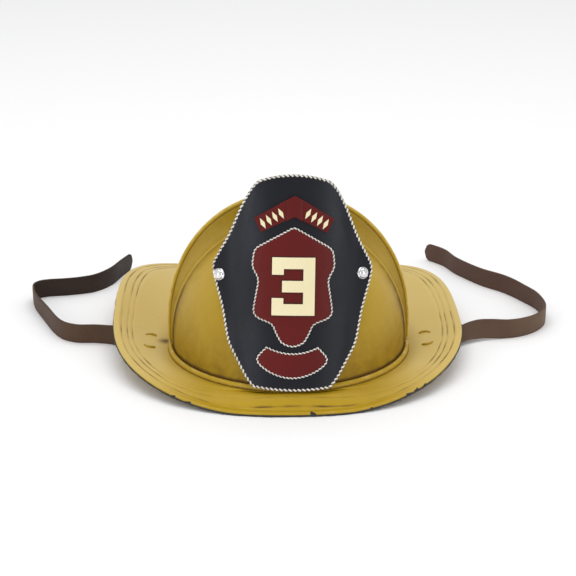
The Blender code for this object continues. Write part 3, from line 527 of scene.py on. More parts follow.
EFFECTS = {
    Effect.WEATHER: group_of(
        "weathering",
        {"Place": (0, 0, 0), "Base": (0.5, 0.3, 0.05), "Shade": (0.3, 0.2, 0.03), "Dirt": (0.05, 0.03, 0.01),
         "Rub": (0.6, 0.5, 0.2), "Cloud": 0.5, "Streak": 0.2, "Grime": 0.0, "Wear": 0.0, "Specks": 0.5},
        {"Color": "NodeSocketColor", "Dull": "NodeSocketFloat", "Worn": "NodeSocketFloat",
         "Height": "NodeSocketFloat"}, wire_weather_and_shade),
    Effect.GRAIN: group_of(
        "leather grain", {"Place": (0, 0, 0), "Scale": 700.0, "Depth": 1.0},
        {"Height": "NodeSocketFloat", "Crease": "NodeSocketFloat", "Slow": "NodeSocketFloat"}, wire_grain),
    Effect.STRANDS: group_of(
        "twisted strands", {"Place": (0, 0, 0), "Turn": 0.0},
        {"Height": "NodeSocketFloat", "Stain": "NodeSocketFloat"}, wire_strands),
}


class Finish:
    """A material under construction: its nodes and its Principled shader."""

    def __init__(self, name: str, roughness: float, metallic: float = 0.0, specular: float = 0.5,
                 sheen: float = 0.0) -> None:
        """Starts the material with the values that are the same all over it."""
        self.material = bpy.data.materials.new(name)
        self.material.use_nodes = True
        self.nodes = Nodes(self.material.node_tree)
        self.shader = self.material.node_tree.nodes["Principled BSDF"]
        self.shader.inputs["Roughness"].default_value = roughness
        self.shader.inputs["Metallic"].default_value = metallic
        self.shader.inputs["Specular IOR Level"].default_value = specular
        self.shader.inputs["Sheen Weight"].default_value = sheen

    def effect(self, which: Effect, **inputs: object) -> bpy.types.Node:
        """A shared effect placed in this material.

        Args:
            which: the effect.
            inputs: a value or socket for each input.

        Returns:
            The group node.
        """
        node = self.nodes.tree.nodes.new("ShaderNodeGroup")
        node.node_tree = EFFECTS[which]
        for key, value in inputs.items():
            socket = node.inputs[key]
            if isinstance(value, Socket):
                self.nodes.tree.links.new(value, socket)
            else:
                socket.default_value = (*value, 1.0) if isinstance(value, tuple) else value
        return node

    def wire(self, colour: object, rough: object = None, height: object = None, strength: float = 0.3,
             distance: float = 0.0004) -> Material:
        """Joins colour, roughness and height to the shader.

        Args:
            colour: socket or three numbers.
            rough: socket, or None to keep the plain value.
            height: socket of the bump, or None.
            strength: the bump's strength.
            distance: the bump's depth in metres.

        Returns:
            The finished material.
        """
        links, shader = self.nodes.tree.links, self.shader
        if isinstance(colour, tuple):
            shader.inputs["Base Color"].default_value = (*colour, 1.0)
        else:
            links.new(colour, shader.inputs["Base Color"])
        if rough is not None:
            links.new(rough, shader.inputs["Roughness"])
        if height is not None:
            ridge = self.nodes.add("Bump", None, Strength=strength, Distance=distance, Height=height)
            links.new(ridge.outputs[0], shader.inputs["Normal"])
        return self.material


@dataclass(frozen=True)
class SheetPaint:
    """Satin paint on pressed metal, darkened in its hollows and creases by antique glaze and painted shade, and
    paler where a painted sheen lies.
    """

    name: str = "mustard paint"
    base: Triple = (0.445, 0.285, 0.012)
    shade: Triple = (0.335, 0.197, 0.006)
    # The paler tint below is a painted sheen, mixed in where the surround's reflection would lie.
    painted_sheen_tint: Triple = (0.58, 0.42, 0.115)
    # The dark colour below is for soiling, antique glaze and painted shade in creases.
    dirt: Triple = (0.105, 0.052, 0.006)
    rub: Triple = (0.60, 0.43, 0.12)
    roughness: float = 0.38

    def build(self) -> Material:
        """The material: a painted sheen, then soiling, antique glaze, painted shade and wear over a slightly
        uneven satin surface.
        """
        finish = Finish(self.name, self.roughness, specular=0.22)
        nodes = finish.nodes
        # Painted sheen: both tones are mixed towards the paler tint by the sheen number kept on the mesh.
        base = nodes.mix(nodes.tone("pale"), self.base, self.painted_sheen_tint)
        shade = nodes.mix(nodes.tone("pale"), self.shade, self.painted_sheen_tint)
        weather_and_shade = finish.effect(Effect.WEATHER, Place=nodes.place(), Base=base, Shade=shade,
                                Dirt=self.dirt, Rub=self.rub, Cloud=0.6, Streak=0.25,
                                Grime=nodes.tone("grime"), Wear=nodes.tone("wear"), Specks=0.35)
        rough = nodes.plus(self.roughness - 0.05, nodes.times(weather_and_shade.outputs["Dull"], 0.3))
        rough = nodes.plus(rough, nodes.times(weather_and_shade.outputs["Height"], 0.1))
        return finish.wire(weather_and_shade.outputs["Color"], rough, weather_and_shade.outputs["Height"], 0.25, 0.00025)


@dataclass(frozen=True)
class Leather:
    """Dyed or painted leather."""

    name: str
    base: Triple
    shade: Triple
    rub: Triple
    roughness: float = 0.45
    scale: float = 700.0
    depth: float = 1.0
    strength: float = 0.3
    specular: float = 0.25
    second: Triple | None = None

    def build(self) -> Material:
        """The material: grain, darker creases, rubbed edges and a second colour where side is 1."""
        finish = Finish(self.name, self.roughness, specular=self.specular)
        nodes = finish.nodes
        place = nodes.place()
        grain = finish.effect(Effect.GRAIN, Place=place, Scale=self.scale, Depth=self.depth)
        base = self.base
        if self.second:
            base = nodes.mix(nodes.tone("side"), self.base, self.second)
        weather_and_shade = finish.effect(Effect.WEATHER, Place=place, Base=base, Shade=self.shade, Dirt=self.shade,
                                Rub=self.rub, Cloud=0.6, Streak=0.0, Grime=nodes.tone("grime"),
                                Wear=nodes.tone("wear"), Specks=0.25)
        colour = nodes.mix(nodes.times(grain.outputs["Crease"], 0.35), weather_and_shade.outputs["Color"],
                           self.shade)
        rough = nodes.plus(self.roughness - 0.06,
                           nodes.times(grain.outputs["Crease"], 0.16))
        rough = nodes.plus(rough, nodes.times(grain.outputs["Slow"], 0.08))
        return finish.wire(colour, rough, grain.outputs["Height"], self.strength, 0.0003)


@dataclass(frozen=True)
class Metal:
    """Bare or plated metal."""

    name: str
    base: Triple
    shade: Triple
    roughness: float
    strength: float = 0.1

    def build(self) -> Material:
        """The material: faint clouds of tarnish and a fine brushed unevenness."""
        finish = Finish(self.name, self.roughness, metallic=1.0)
        nodes = finish.nodes
        weather_and_shade = finish.effect(Effect.WEATHER, Place=nodes.place(), Base=self.base, Shade=self.shade,
                                Dirt=self.shade, Rub=self.base, Cloud=0.5, Streak=0.2,
                                Grime=nodes.tone("grime"), Wear=0.0, Specks=0.3)
        rough = nodes.plus(self.roughness, nodes.times(weather_and_shade.outputs["Dull"], 0.25))
        return finish.wire(weather_and_shade.outputs["Color"], rough, weather_and_shade.outputs["Height"], self.strength, 0.0002)


@dataclass(frozen=True)
class TwistedCord:
    """Off-white waxed cord."""

    name: str = "white cord"
    base: Triple = (0.80, 0.77, 0.71)
    stain: Triple = (0.50, 0.44, 0.37)

    def build(self) -> Material:
        """The material: fibres across each strand and patches of old wax."""
        finish = Finish(self.name, 0.6, sheen=0.2)
        nodes = finish.nodes
        strands = finish.effect(Effect.STRANDS, Place=nodes.place(), Turn=nodes.tone("turn"))
        colour = nodes.mix(nodes.times(strands.outputs["Stain"], 0.6), self.base, self.stain)
        return finish.wire(colour, None, strands.outputs["Height"], 0.35, 0.0003)


@dataclass(frozen=True)
class Webbing:
    """Woven liner webbing, its weave counted along the strap."""

    name: str = "woven webbing"
    base: Triple = (0.21, 0.19, 0.155)
    dark: Triple = (0.10, 0.09, 0.07)

    def build(self) -> Material:
        """The material: over and under threads, the product of two sines of the mesh's own run and width."""
        finish = Finish(self.name, 0.85, sheen=0.3)
        nodes = finish.nodes
        run = nodes.math("SINE", nodes.times(nodes.tone("run"), TAU / 0.0016))
        wide = nodes.math("SINE", nodes.times(nodes.tone("wide"), TAU / 0.0012))
        weave = nodes.plus(0.5, nodes.times(nodes.times(run, wide), 0.5))
        colour = nodes.mix(weave, self.dark, self.base)
        return finish.wire(colour, None, weave, 0.6, 0.0004)


@dataclass(frozen=True)
class Moulded:
    """Moulded plastic or rubber."""

    name: str
    base: Triple
    rub: Triple
    roughness: float = 0.55

    def build(self) -> Material:
        """The material: a fine even texture with scuffed edges."""
        finish = Finish(self.name, self.roughness)
        nodes = finish.nodes
        weather_and_shade = finish.effect(Effect.WEATHER, Place=nodes.place(), Base=self.base, Shade=self.rub,
                                Dirt=self.rub,
                                Rub=self.rub, Cloud=0.3, Streak=0.0, Grime=0.0, Wear=nodes.tone("wear"),
                                Specks=0.1)
        texture = nodes.noise(nodes.place(), 900.0, 2.0)
        return finish.wire(weather_and_shade.outputs["Color"], None, texture, 0.2, 0.0002)


PAINT = SheetPaint().build()
EDGE_BLACK = Moulded("black edge", (0.012, 0.011, 0.010), (0.045, 0.04, 0.033), 0.5).build()
# The plate's lighter second colour paints highlight bands where the side lamps reflect.
SHIELD_BLACK = Leather("blue-black leather", (0.0105, 0.0112, 0.0165), (0.0060, 0.0065, 0.0095),
                       (0.050, 0.052, 0.062), 0.34, 800.0, 0.5, 0.2, 0.17, (0.026, 0.028, 0.037)).build()
SHIELD_RED = Leather("oxblood leather", (0.122, 0.0105, 0.0090), (0.074, 0.0060, 0.0055), (0.20, 0.05, 0.04),
                     0.38, 800.0, 0.5, 0.2, 0.14).build()
CREAM = Leather("cream leather", (0.83, 0.76, 0.50), (0.70, 0.60, 0.36), (0.9, 0.86, 0.7), 0.45, 800.0, 0.3,
                0.12).build()
OUTLINE = Leather("dark outline", (0.035, 0.008, 0.006), (0.02, 0.005, 0.004), (0.06, 0.02, 0.015), 0.5).build()
CORD = TwistedCord().build()
CHROME = Metal("bright chrome", (0.86, 0.86, 0.87), (0.55, 0.55, 0.55), 0.08).build()
ZINC = Metal("dull zinc", (0.52, 0.50, 0.45), (0.30, 0.26, 0.20), 0.38, 0.25).build()
STRAP_LEFT = Leather("oiled strap leather", (0.090, 0.047, 0.026), (0.042, 0.022, 0.013), (0.16, 0.10, 0.07),
                     0.55, 900.0, 1.0, 0.5, second=(0.030, 0.020, 0.015)).build()
STRAP_RIGHT = Leather("dry strap leather", (0.150, 0.092, 0.055), (0.075, 0.040, 0.026), (0.22, 0.15, 0.11),
                      0.6, 900.0, 1.0, 0.5, second=(0.108, 0.058, 0.040)).build()
SWEAT = Leather("tan sweatband leather", (0.20, 0.105, 0.05), (0.12, 0.06, 0.03), (0.30, 0.18, 0.10), 0.6,
                600.0, 1.0, 0.3).build()
STITCH = Leather("waxed thread", (0.55, 0.48, 0.36), (0.40, 0.33, 0.24), (0.6, 0.55, 0.45), 0.7, 2500.0).build()
PLASTIC = Moulded("liner plastic", (0.018, 0.018, 0.018), (0.06, 0.06, 0.06)).build()
RUBBER = Moulded("black rubber", (0.014, 0.014, 0.014), (0.05, 0.05, 0.05), 0.7).build()
WEB = Webbing().build()
# Dark colour of the thin strand that paints the shaded gaps between the light cord's turns.
CORD_GAP_SHADE = Leather("dark waxed thread", (0.020, 0.018, 0.018), (0.01, 0.01, 0.01), (0.05, 0.05, 0.05), 0.6,
                 2500.0).build()


# Crown, comb and brim

@dataclass
class Crown:
    """The pressed dome in two halves, the standing comb between them and the bead round its foot."""

    half_width: float = 0.0965
    front: float = 0.098
    rear: float = 0.118
    foot: float = 0.014
    straight: float = 0.0125
    rise: float = 0.100
    wall: float = 0.0015
    crimp: float = 0.004
    lip_heights: tuple[float, ...] = (0.0135, 0.0117, 0.0102, 0.0108)
    comb_out: float = 0.0024
    comb_lift: float = 0.0073
    comb_rise: float = 0.1125
    fullness: float = 2.1
    roll: float = 0.0024
    bead_width: float = 0.0046
    bead_height: float = 0.0040
    comb_root: float = 0.0165
    dent: float = 0.00022
    slices: int = 46
    arc_columns: int = 150
    upright_columns: int = 10
    comb_y: float = field(init=False)

    def __post_init__(self) -> None:
        """Finds the comb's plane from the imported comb."""
        low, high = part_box("comb_edge_roll")
        self.comb_y = (low.y + high.y) / 2
        self.base = self.foot + self.straight

    def egg(self, angle: Array, outset: Array | float = 0.0) -> Array:
        """The foot's outline: an ellipse whose depth differs in front and behind, moved out along its normal.

        Args:
            angle: from +X towards the rear.
            outset: distance out from the crown's foot.

        Returns:
            A point (x, y) for each angle.
        """
        depth = np.where(np.sin(angle) < 0, self.front, self.rear)
        normal = unit(np.stack([np.cos(angle) / self.half_width, np.sin(angle) / depth], -1))
        place = np.stack([self.half_width * np.cos(angle), depth * np.sin(angle)], -1)
        return place + np.asarray(outset)[..., None] * normal + (0, self.comb_y)

    def arch(self, width: Array, rise: Array, base: Array, power: Array | float) -> Array:
        """Arches over the head, each in a plane across it.

        Straight up from the foot to the base, then width |cos| and rise |sin|, both to the power, then
        straight down.

        Args:
            width: half width of each arch.
            rise: its height over its base.
            base: height at which it starts to curve.
            power: 1 for an ellipse, less for a fuller arch.

        Returns:
            A row of (x, z) for each arch.
        """
        up = np.linspace(0, 1, self.upright_columns, endpoint=False)
        turn = np.linspace(0, math.pi, self.arc_columns)
        width, rise, base = (np.asarray(v, float)[:, None] for v in (width, rise, base))
        power = np.broadcast_to(power, width.shape[0])[:, None]
        low = self.foot + (base - self.foot) * up[None]
        across = width * np.sign(np.cos(turn)) * np.abs(np.cos(turn)) ** power
        over = base + rise * np.abs(np.sin(turn)) ** power
        x = np.concatenate([np.broadcast_to(width, low.shape), across, np.broadcast_to(-width, low.shape)], 1)
        return np.stack([x, np.concatenate([low, over, low[:, ::-1]], 1)], -1)

    def half_rows(self, depth: float) -> tuple[Array, Array, Array, Array, Array]:
        """The slices of one half, from the comb's edge inwards.

        Args:
            depth: how far the half reaches from the comb's plane.

        Returns:
            For each slice: its distance from the comb's plane, its outset from the dome, its share of the way
            from the dome to the comb's edge, its darkening (painted shade with some antique glaze) and its wear.
        """
        # Fourth column: darkening of the comb's face and of the crease at its foot, painted shade where comb and
        # dome meet, with some antique glaze.
        comb = [(0.00165, 0, 0.97, 0.1, 0.0), (0.0017, 0, 0.8, 0.20, 0.0), (0.0019, 0, 0.6, 0.18, 0.0),
                (0.0023, 0, 0.42, 0.20, 0.0), (0.0030, 0, 0.27, 0.24, 0.0), (0.0040, 0, 0.155, 0.27, 0.0),
                (0.0051, 0, 0.08, 0.32, 0.0), (0.0062, 0, 0.03, 0.45, 0.0), (0.0070, -0.0003, 0.005, 0.95, 0.0),
                (0.0076, 0.0003, 0, 0.5, 0.2), (0.0082, 0.0011, 0, 0.05, 0.5), (0.0090, 0.0014, 0, 0.0, 0.6),
                (0.0098, 0.0011, 0, 0.1, 0.45), (0.0104, 0.0003, 0, 0.5, 0.1), (0.0110, -0.0004, 0, 0.75, 0.0),
                (0.0118, -0.0004, 0, 0.75, 0.0), (0.0128, 0, 0, 0.6, 0.0), (0.0142, 0, 0, 0.5, 0.0)]
        start = math.asin(self.comb_root / depth)
        dome = [(depth * math.sin(t), 0, 0, 0.42 * math.exp(-9 * (t - start)), 0.0)
                for t in np.linspace(start, math.pi / 2, self.slices)]
        return tuple(np.array(column, float) for column in zip(*(comb + dome)))

    def half(self, name: str, side: int, depth: float, node: str) -> Object:
        """One half of the crown with its flange of the comb, as a skin that is given its wall.

        A slice's place is (dome + outset) (1 - share) + edge share, and slow dents of a fifth of a millimetre
        run over the dome.

        Args:
            name: its name.
            side: -1 for the front, 1 for the rear.
            depth: how far it reaches from the comb's plane.
            node: its solid.

        Returns:
            The half's object.
        """
        away, outset, share, grime, wear = self.half_rows(depth)
        shrink = np.sqrt(np.maximum(1 - (away / depth) ** 2, 0))
        dome = self.arch(shrink * self.half_width + outset, shrink * self.rise + outset,
                         np.full_like(away, self.base), 1.0)
        ones = np.ones_like(away)
        edge = self.arch(ones * (self.half_width + self.comb_out), ones * self.comb_rise,
                         ones * (self.base + self.comb_lift), 2 / self.fullness)
        flat = dome * (1 - share[:, None, None]) + edge * share[:, None, None]
        y = np.broadcast_to((side * away)[:, None], flat.shape[:2])
        grid = np.stack([flat[..., 0], y, flat[..., 1]], -1)
        out = unit(grid / (self.half_width, depth, self.rise) ** np.array(2) - (0, 0, self.base / self.rise**2))
        dents = (np.sin(41 * grid[..., 0] + 1.3 + side) * np.sin(53 * grid[..., 2] + 0.7)
                 + np.sin(77 * grid[..., 0] + 90 * grid[..., 1] + 2.1) * np.sin(64 * grid[..., 2]))
        calm = smooth_share(away, 0.014, 0.03)[:, None] * smooth_share(grid[..., 2], self.foot, self.foot + 0.02)
        grid = grid + out * (self.dent * dents * calm * smooth_share(depth - away, 0, 0.01)[:, None])[..., None]
        up = grid[..., 2] - self.foot
        # Painted shade: a dark band where the dome meets the foot bead, a broad darkening of the low steep wall,
        # and the comb's crease darker towards the ears; the added 0.13 darkens the whole crown a little.
        foot_shade = 0.75 * bump(up, 0.0034, 0.0017) + 0.32 * bump(up, 0, 0.042)
        ears = 1.25 - 0.75 * smooth_share(up, 0.02, 0.08)
        grime_and_shade_map = np.clip(np.maximum(grime[:, None] * ears, foot_shade) + 0.13, 0, 1)
        grid[..., 1] += self.comb_y
        # Painted sheen: paler towards the dome's sides and top, where the bright surround's reflection would
        # lie.
        pale = 0.32 * smooth_share(np.abs(grid[..., 0]), 0.03, 0.09) * smooth_share(grid[..., 2], 0.03, 0.09)
        shape = Shape().grid(grid, grime=grime_and_shade_map, wear=wear[:, None] * np.ones_like(y), pale=pale)
        made = MAKER.piece(name, shape, [PAINT], replaces=[node], sharp=75)
        self.face_outwards(made)
        skin = made.modifiers.new("wall", "SOLIDIFY")
        skin.thickness, skin.offset = self.wall, -1
        return made

    def face_outwards(self, made: Object) -> None:
        """Turns an open skin's faces away from the middle of the head."""
        mesh = made.data
        centres = np.empty(len(mesh.polygons) * 3)
        normals = np.empty(len(mesh.polygons) * 3)
        mesh.polygons.foreach_get("center", centres)
        mesh.polygons.foreach_get("normal", normals)
        away = centres.reshape(-1, 3) - (0, self.comb_y, self.base)
        if (away * normals.reshape(-1, 3)).sum() < 0:
            mesh.flip_normals()

    def comb_roll(self) -> None:
        """The rolled edge of the comb: a flattened round carried over its edge, narrower at the ears."""
        arch = self.arch(np.array([self.half_width + self.comb_out]), np.array([self.comb_rise]),
                         np.array([self.base + self.comb_lift]), 2 / self.fullness)[0]
        path = even_path(arch[arch[:, 1] > self.foot + self.bead_height], 0.0022, False)
        points = np.stack([path[:, 0], np.full(len(path), self.comb_y), path[:, 1]], 1)
        out = np.stack([path[:, 0], 0 * path[:, 0], np.maximum(path[:, 1] - self.base, 0)], 1)
        turn = np.linspace(0, TAU, 20, endpoint=False)
        size = self.roll * (0.80 + 0.2 * smooth_share(path[:, 1], 0.02, 0.10))
        uneven = 1 + 0.03 * np.sin(np.arange(len(path)) * 0.31)
        section = np.stack([np.cos(turn) * 0.86 - 0.02, np.sin(turn)], 1)[None] * (size * uneven)[:, None, None]
        grid = carry(points, out, section)
        wear = np.clip(0.25 + 0.5 * np.cos(turn), 0, 1)[None] * np.ones((len(path), 1))
        # Painted shade on the inner side of the roll, where it meets the comb.
        grime = np.clip(0.1 - 0.6 * np.cos(turn), 0, 1)[None] * np.ones((len(path), 1))
        MAKER.piece("comb_rolled_edge", Shape().grid(grid, True, caps=True, wear=wear, grime=grime), [PAINT],
                    replaces=["comb_edge_roll"], sharp=60)

    def foot_bead(self) -> None:
        """The half-round bead round the crown's foot, and the crown's crimped lip under the brim."""
        turn = np.linspace(0, TAU, 360, endpoint=False)
        over = np.linspace(-0.12 * math.pi, 1.06 * math.pi, 15)
        out = self.bead_width * (0.46 + 0.54 * np.cos(over))
        up = self.foot - 0.0002 + self.bead_height * np.maximum(np.sin(over), -0.12)
        outline = self.egg(turn[:, None] * np.ones_like(over), out[None] * np.ones((len(turn), 1)))
        grid = np.concatenate([outline, np.broadcast_to(up, (len(turn), len(over)))[..., None]], -1)
        wear = np.broadcast_to(np.clip(np.sin(over), 0, 1) * 0.55, grid.shape[:2])
        # Painted shade along the bead's lower edges, in its creases with the dome and the brim.
        grime = np.broadcast_to(np.clip(1 - 1.5 * np.sin(over), 0, 1), grid.shape[:2])
        MAKER.piece("crown_foot_bead", Shape().grid(grid, True, True, wear=wear, grime=grime), [PAINT],
                    replaces=["base_bead"], sharp=80)
        lip = np.stack([(-self.wall, self.crimp, self.crimp, -self.wall), self.lip_heights], 1)
        edge = self.egg(turn[:, None] * np.ones(4), lip[None, :, 0] * np.ones((len(turn), 1)))
        grid = np.concatenate([edge, np.broadcast_to(lip[:, 1], (len(turn), 4))[..., None]], -1)
        # The lip is evenly darker: painted shade under the bead and brim.
        MAKER.piece("crown_crimped_lip", Shape().grid(grid, True, True, grime=0.4), [PAINT],
                    round_edge=0.0004)

    def build(self) -> None:
        """Makes all of the crown's pieces."""
        self.half("crown_front_shell", -1, self.front, "crown_front")
        self.half("crown_rear_shell", 1, self.rear, "crown_rear")
        self.comb_roll()
        self.foot_bead()


@dataclass
class Brim:
    """The brim with its pressed lines, and the black bead under its edge."""

    crown: Crown
    side: float = 0.0515
    front: float = 0.021
    rear: float = 0.110
    thick: float = 0.002
    seat: float = 0.0065
    widest: float = 0.040
    front_fullness: float = 2.35
    rear_fullness: float = 3.3
    flat_share: float = 0.3
    curl: float = 1.4
    side_rise: float = 0.009
    bead_height: float = 0.0016
    bead_proud: float = 0.0006
    bead_width: float = 0.0034
    level_edge: float = 0.0045
    columns: int = 420
    lines: Outline = ((0.0062, 0.00042), (0.0118, 0.00038), (0.0160, 0.00030))
    line_band: float = 0.0195
    line_width: float = 0.00065
    dent: float = 0.00016
    swell: Triple = (0.0105, 0.98, 0.46)
    flakes: tuple[Triple, ...] = ((7.4, 0.0042, 0.0024), (30.0, 0.0020, 0.0008), (45.0, 0.0070, 0.0012),
                                  (48.5, 0.0046, 0.0016), (53.0, 0.0050, 0.0011), (-39.0, 0.0060, 0.0010),
                                  (-45.0, 0.0040, 0.0012))

    def __post_init__(self) -> None:
        """Works out the sizes that follow from the others."""
        self.half = self.crown.half_width + self.side
        self.low = self.bead_height + GAP + self.thick
        self.high = self.crown.foot + self.side_rise

    def outline(self) -> tuple[Array, Array]:
        """The edge, found by halving for all angles at once.

        Each point is straight out from the crown's own outline at its angle, where
        (|x| / half)^n + (|y - widest| / reach)^n passes 1.

        Returns:
            The edge's points and its outward normals.
        """
        angle = np.linspace(0, TAU, self.columns, endpoint=False)
        way = unit(self.crown.egg(angle) - (0, self.crown.comb_y))
        low, high = np.zeros(self.columns), np.full(self.columns, 0.5)
        front_reach = self.crown.front + self.front + self.widest
        rear_reach = self.crown.rear + self.rear - self.widest
        for _ in range(40):
            middle = (low + high) / 2
            x, y = (way * middle[:, None]).T
            back = y >= self.widest
            power = np.where(back, self.rear_fullness, self.front_fullness)
            reach = np.where(back, rear_reach, front_reach)
            inside = (np.abs(x) / self.half) ** power + (np.abs(y - self.widest) / reach) ** power < 1
            low, high = np.where(inside, middle, low), np.where(inside, high, middle)
        edge = way * low[:, None]
        along = np.roll(edge, -1, 0) - np.roll(edge, 1, 0)
        return edge + (0, self.crown.comb_y), unit(np.stack([along[:, 1], -along[:, 0]], 1))

    def edge_height(self, x: Array) -> Array:
        """Height of the top at the edge: level at front and rear, raised at the sides by a power of 1.6."""
        share = np.clip((np.abs(x) / self.half - self.flat_share) / (1 - self.flat_share), 0, 1)
        return self.low + (self.high - self.low) * share**1.6

    def surface(self) -> tuple[Array, Array, Array, Array]:
        """The top of the brim with its pressed lines.

        The outer 20 mm run in steps straight in from the edge, so that the pressed lines keep their distance;
        the rest is spread evenly to the crown. The height goes from seat to edge by a power of the share.

        Returns:
            The top as a grid, its darkening (antique glaze in the pressed lines, a smudge by the left ear and
            painted shade by the crown), its wear and its painted sheen.
        """
        edge, normal = self.outline()
        angle = np.linspace(0, TAU, self.columns, endpoint=False)
        seat = self.crown.egg(angle, self.seat)
        inner = self.crown.egg(angle, GAP)
        near = np.concatenate([[0.0, 0.0002, 0.0006, 0.0012], np.arange(0.0018, self.line_band, 0.00055)])
        outer = edge[None] - near[::-1, None, None] * normal[None]
        share = np.linspace(0, 1, 34, endpoint=False)[:, None, None]
        middle = seat[None] * (1 - share) + outer[:1] * share
        flat = np.concatenate([inner[None], middle, outer])
        whole = np.linalg.norm(edge - seat, axis=1)
        run = np.clip(np.linalg.norm(flat - seat[None], axis=-1) / (whole - self.level_edge)[None], 0, 1)
        run[0] = 0
        height = self.crown.foot + (self.edge_height(edge[:, 0]) - self.crown.foot)[None] * run**self.curl
        height += self.set_up(edge)[None] * run**2.2
        inside = ((edge[None] - flat) * normal[None]).sum(-1)
        from_front = np.abs(np.arctan2(edge[:, 0], -(edge[:, 1] - self.crown.comb_y)))
        grime = np.zeros_like(height)
        patchy = 0.47 + 0.34 * np.sin(9 * angle + 1) * np.sin(4 * angle) + 0.16 * np.sin(31 * angle)
        for number, (distance, depth) in enumerate(self.lines):
            fade = (1.0, 0.55 + 0.45 * smooth_share(from_front, 0.7, 1.1),
                    0.30 + 0.70 * smooth_share(from_front, 0.85, 1.25))[number]
            fade = fade * (1 - 0.6 * smooth_share(from_front, 2.6, 3.0)) * np.ones_like(from_front)
            wander = distance + 0.0004 * np.sin(7 * angle + number)
            groove = bump(inside - wander[None], 0, self.line_width) * fade[None]
            height -= depth * groove
            height += 0.4 * depth * bump(inside - wander[None], -0.0017, 0.0010) * fade[None]
            grime = np.maximum(grime, np.clip(patchy, 0.22, 0.85)[None] * groove)
        height -= 0.0006 * np.exp(-inside / 0.0006)
        x, y = flat[..., 0], flat[..., 1]
        dents = np.sin(37 * x + 1) * np.sin(29 * y) + np.sin(83 * y + 51 * x)
        height += self.dent * dents * smooth_share(inside, 0.002, 0.012) * smooth_share(run, 0.02, 0.25)
        from_seat = np.linalg.norm(flat - inner[None], axis=-1)
        # Painted shade: a dark band where the brim meets the foot bead, and darkening that fades out from the
        # crown.
        grime = np.maximum(grime, 0.7 * bump(from_seat, 0.0044, 0.0011))
        grime = np.maximum(grime, 0.28 * np.exp(-from_seat / 0.012))
        ear = np.hypot(x + self.crown.half_width + 0.0065, y - self.crown.comb_y - 0.009)
        grime = np.maximum(grime, 0.80 * bump(ear, 0, 0.0068))
        wear = 0.45 * np.exp(-inside / 0.0010)
        # Painted reflection: the brim's sides paler towards the edge, where the bright surround would reflect at
        # a grazing angle.
        pale = (smooth_share(np.abs(from_front), 0.55, 1.15) * smooth_share(run, -0.3, 0.35))
        return np.concatenate([flat, height[..., None]], -1), grime, wear, pale

    def set_up(self, edge: Array) -> Array:
        """How much higher the brim is bent than its pattern: a low swell on its left rear quarter."""
        angle = np.arctan2(-edge[:, 0], edge[:, 1] - self.crown.comb_y)
        rise, middle, width = self.swell
        return rise * bump(angle, middle, width)

    def build(self) -> None:
        """Makes the brim and its edge bead."""
        top, grime, wear, pale = self.surface()
        under = top - (0, 0, self.thick)
        under[..., 2] = np.minimum(under[..., 2], top[..., 2] - 0.6 * self.thick)
        skin = np.concatenate([top, under[::-1]])
        # The underside is evenly darker: painted shade under the brim.
        tones = {"grime": np.concatenate([grime, 0.25 + 0 * grime]), "wear": np.concatenate([wear, 0 * wear]),
                 "pale": np.concatenate([pale, 0 * pale])}
        shape = Shape().grid(skin, True, True, **tones)
        MAKER.piece("pressed_brim", shape, [PAINT], replaces=["brim"], sharp=50)
        self.edge_bead()

    def edge_bead(self) -> None:
        """The black bead: a rounded strip under the edge, uneven where the paint stops."""
        edge, normal = self.outline()
        height = self.edge_height(edge[:, 0]) + self.set_up(edge) - self.thick - GAP / 2
        turn = np.linspace(0, TAU, 14, endpoint=False) + TAU / 28
        box = soft_box(self.bead_width, self.bead_height, 14, 4.0)
        angle = np.linspace(0, TAU, self.columns, endpoint=False)
        swell = 0.00018 * np.sin(23 * angle) * np.sin(5 * angle + 1) + 0.00012 * np.sin(61 * angle)
        out = self.bead_proud - self.bead_width / 2 + box[None, :, 0] + swell[:, None] * (np.cos(turn) > 0)
        up = box[None, :, 1] - self.bead_height / 2
        flat = edge[:, None] + normal[:, None] * out[..., None]
        level = (height[:, None] + up + 0 * out)[..., None]
        MAKER.piece("black_edge_bead", Shape().grid(np.concatenate([flat, level], -1), True, True, wear=0.15),
                    [EDGE_BLACK], replaces=["brim_edge_bead"], sharp=60)
        self.chips(edge, normal)

    def chips(self, edge: Array, normal: Array) -> None:
        """Small black flakes over the rim at the front, where the edge's coating runs up over the paint.

        Args:
            edge: the brim's outline.
            normal: its outward normals.
        """
        shape = Shape()
        angle = np.arctan2(edge[:, 0], -(edge[:, 1] - self.crown.comb_y))
        for degrees, long, tall in self.flakes:
            k = int(np.argmin(np.abs(angle - math.radians(degrees))))
            place, out = edge[k], normal[k]
            along = np.array([-out[1], out[0]])
            top = self.edge_height(edge[k:k + 1, 0])[0] - self.thick
            turn = np.linspace(0, TAU, 14, endpoint=False)
            ragged = 1 + 0.25 * np.sin(3 * turn + degrees)
            flat = place + out * 0.00012 + along * (np.cos(turn) * long / 2 * ragged)[:, None]
            level = np.maximum(top + np.sin(turn) * ragged * tall, 0.0003)
            face = np.concatenate([flat, level[:, None]], 1)
            back = face - np.array([*(out * 0.0009), 0])
            shape.grid(np.stack([face, back]), True, caps=True)
        MAKER.piece("edge_coating_flakes", shape, [EDGE_BLACK], sharp=30)


# Front shield

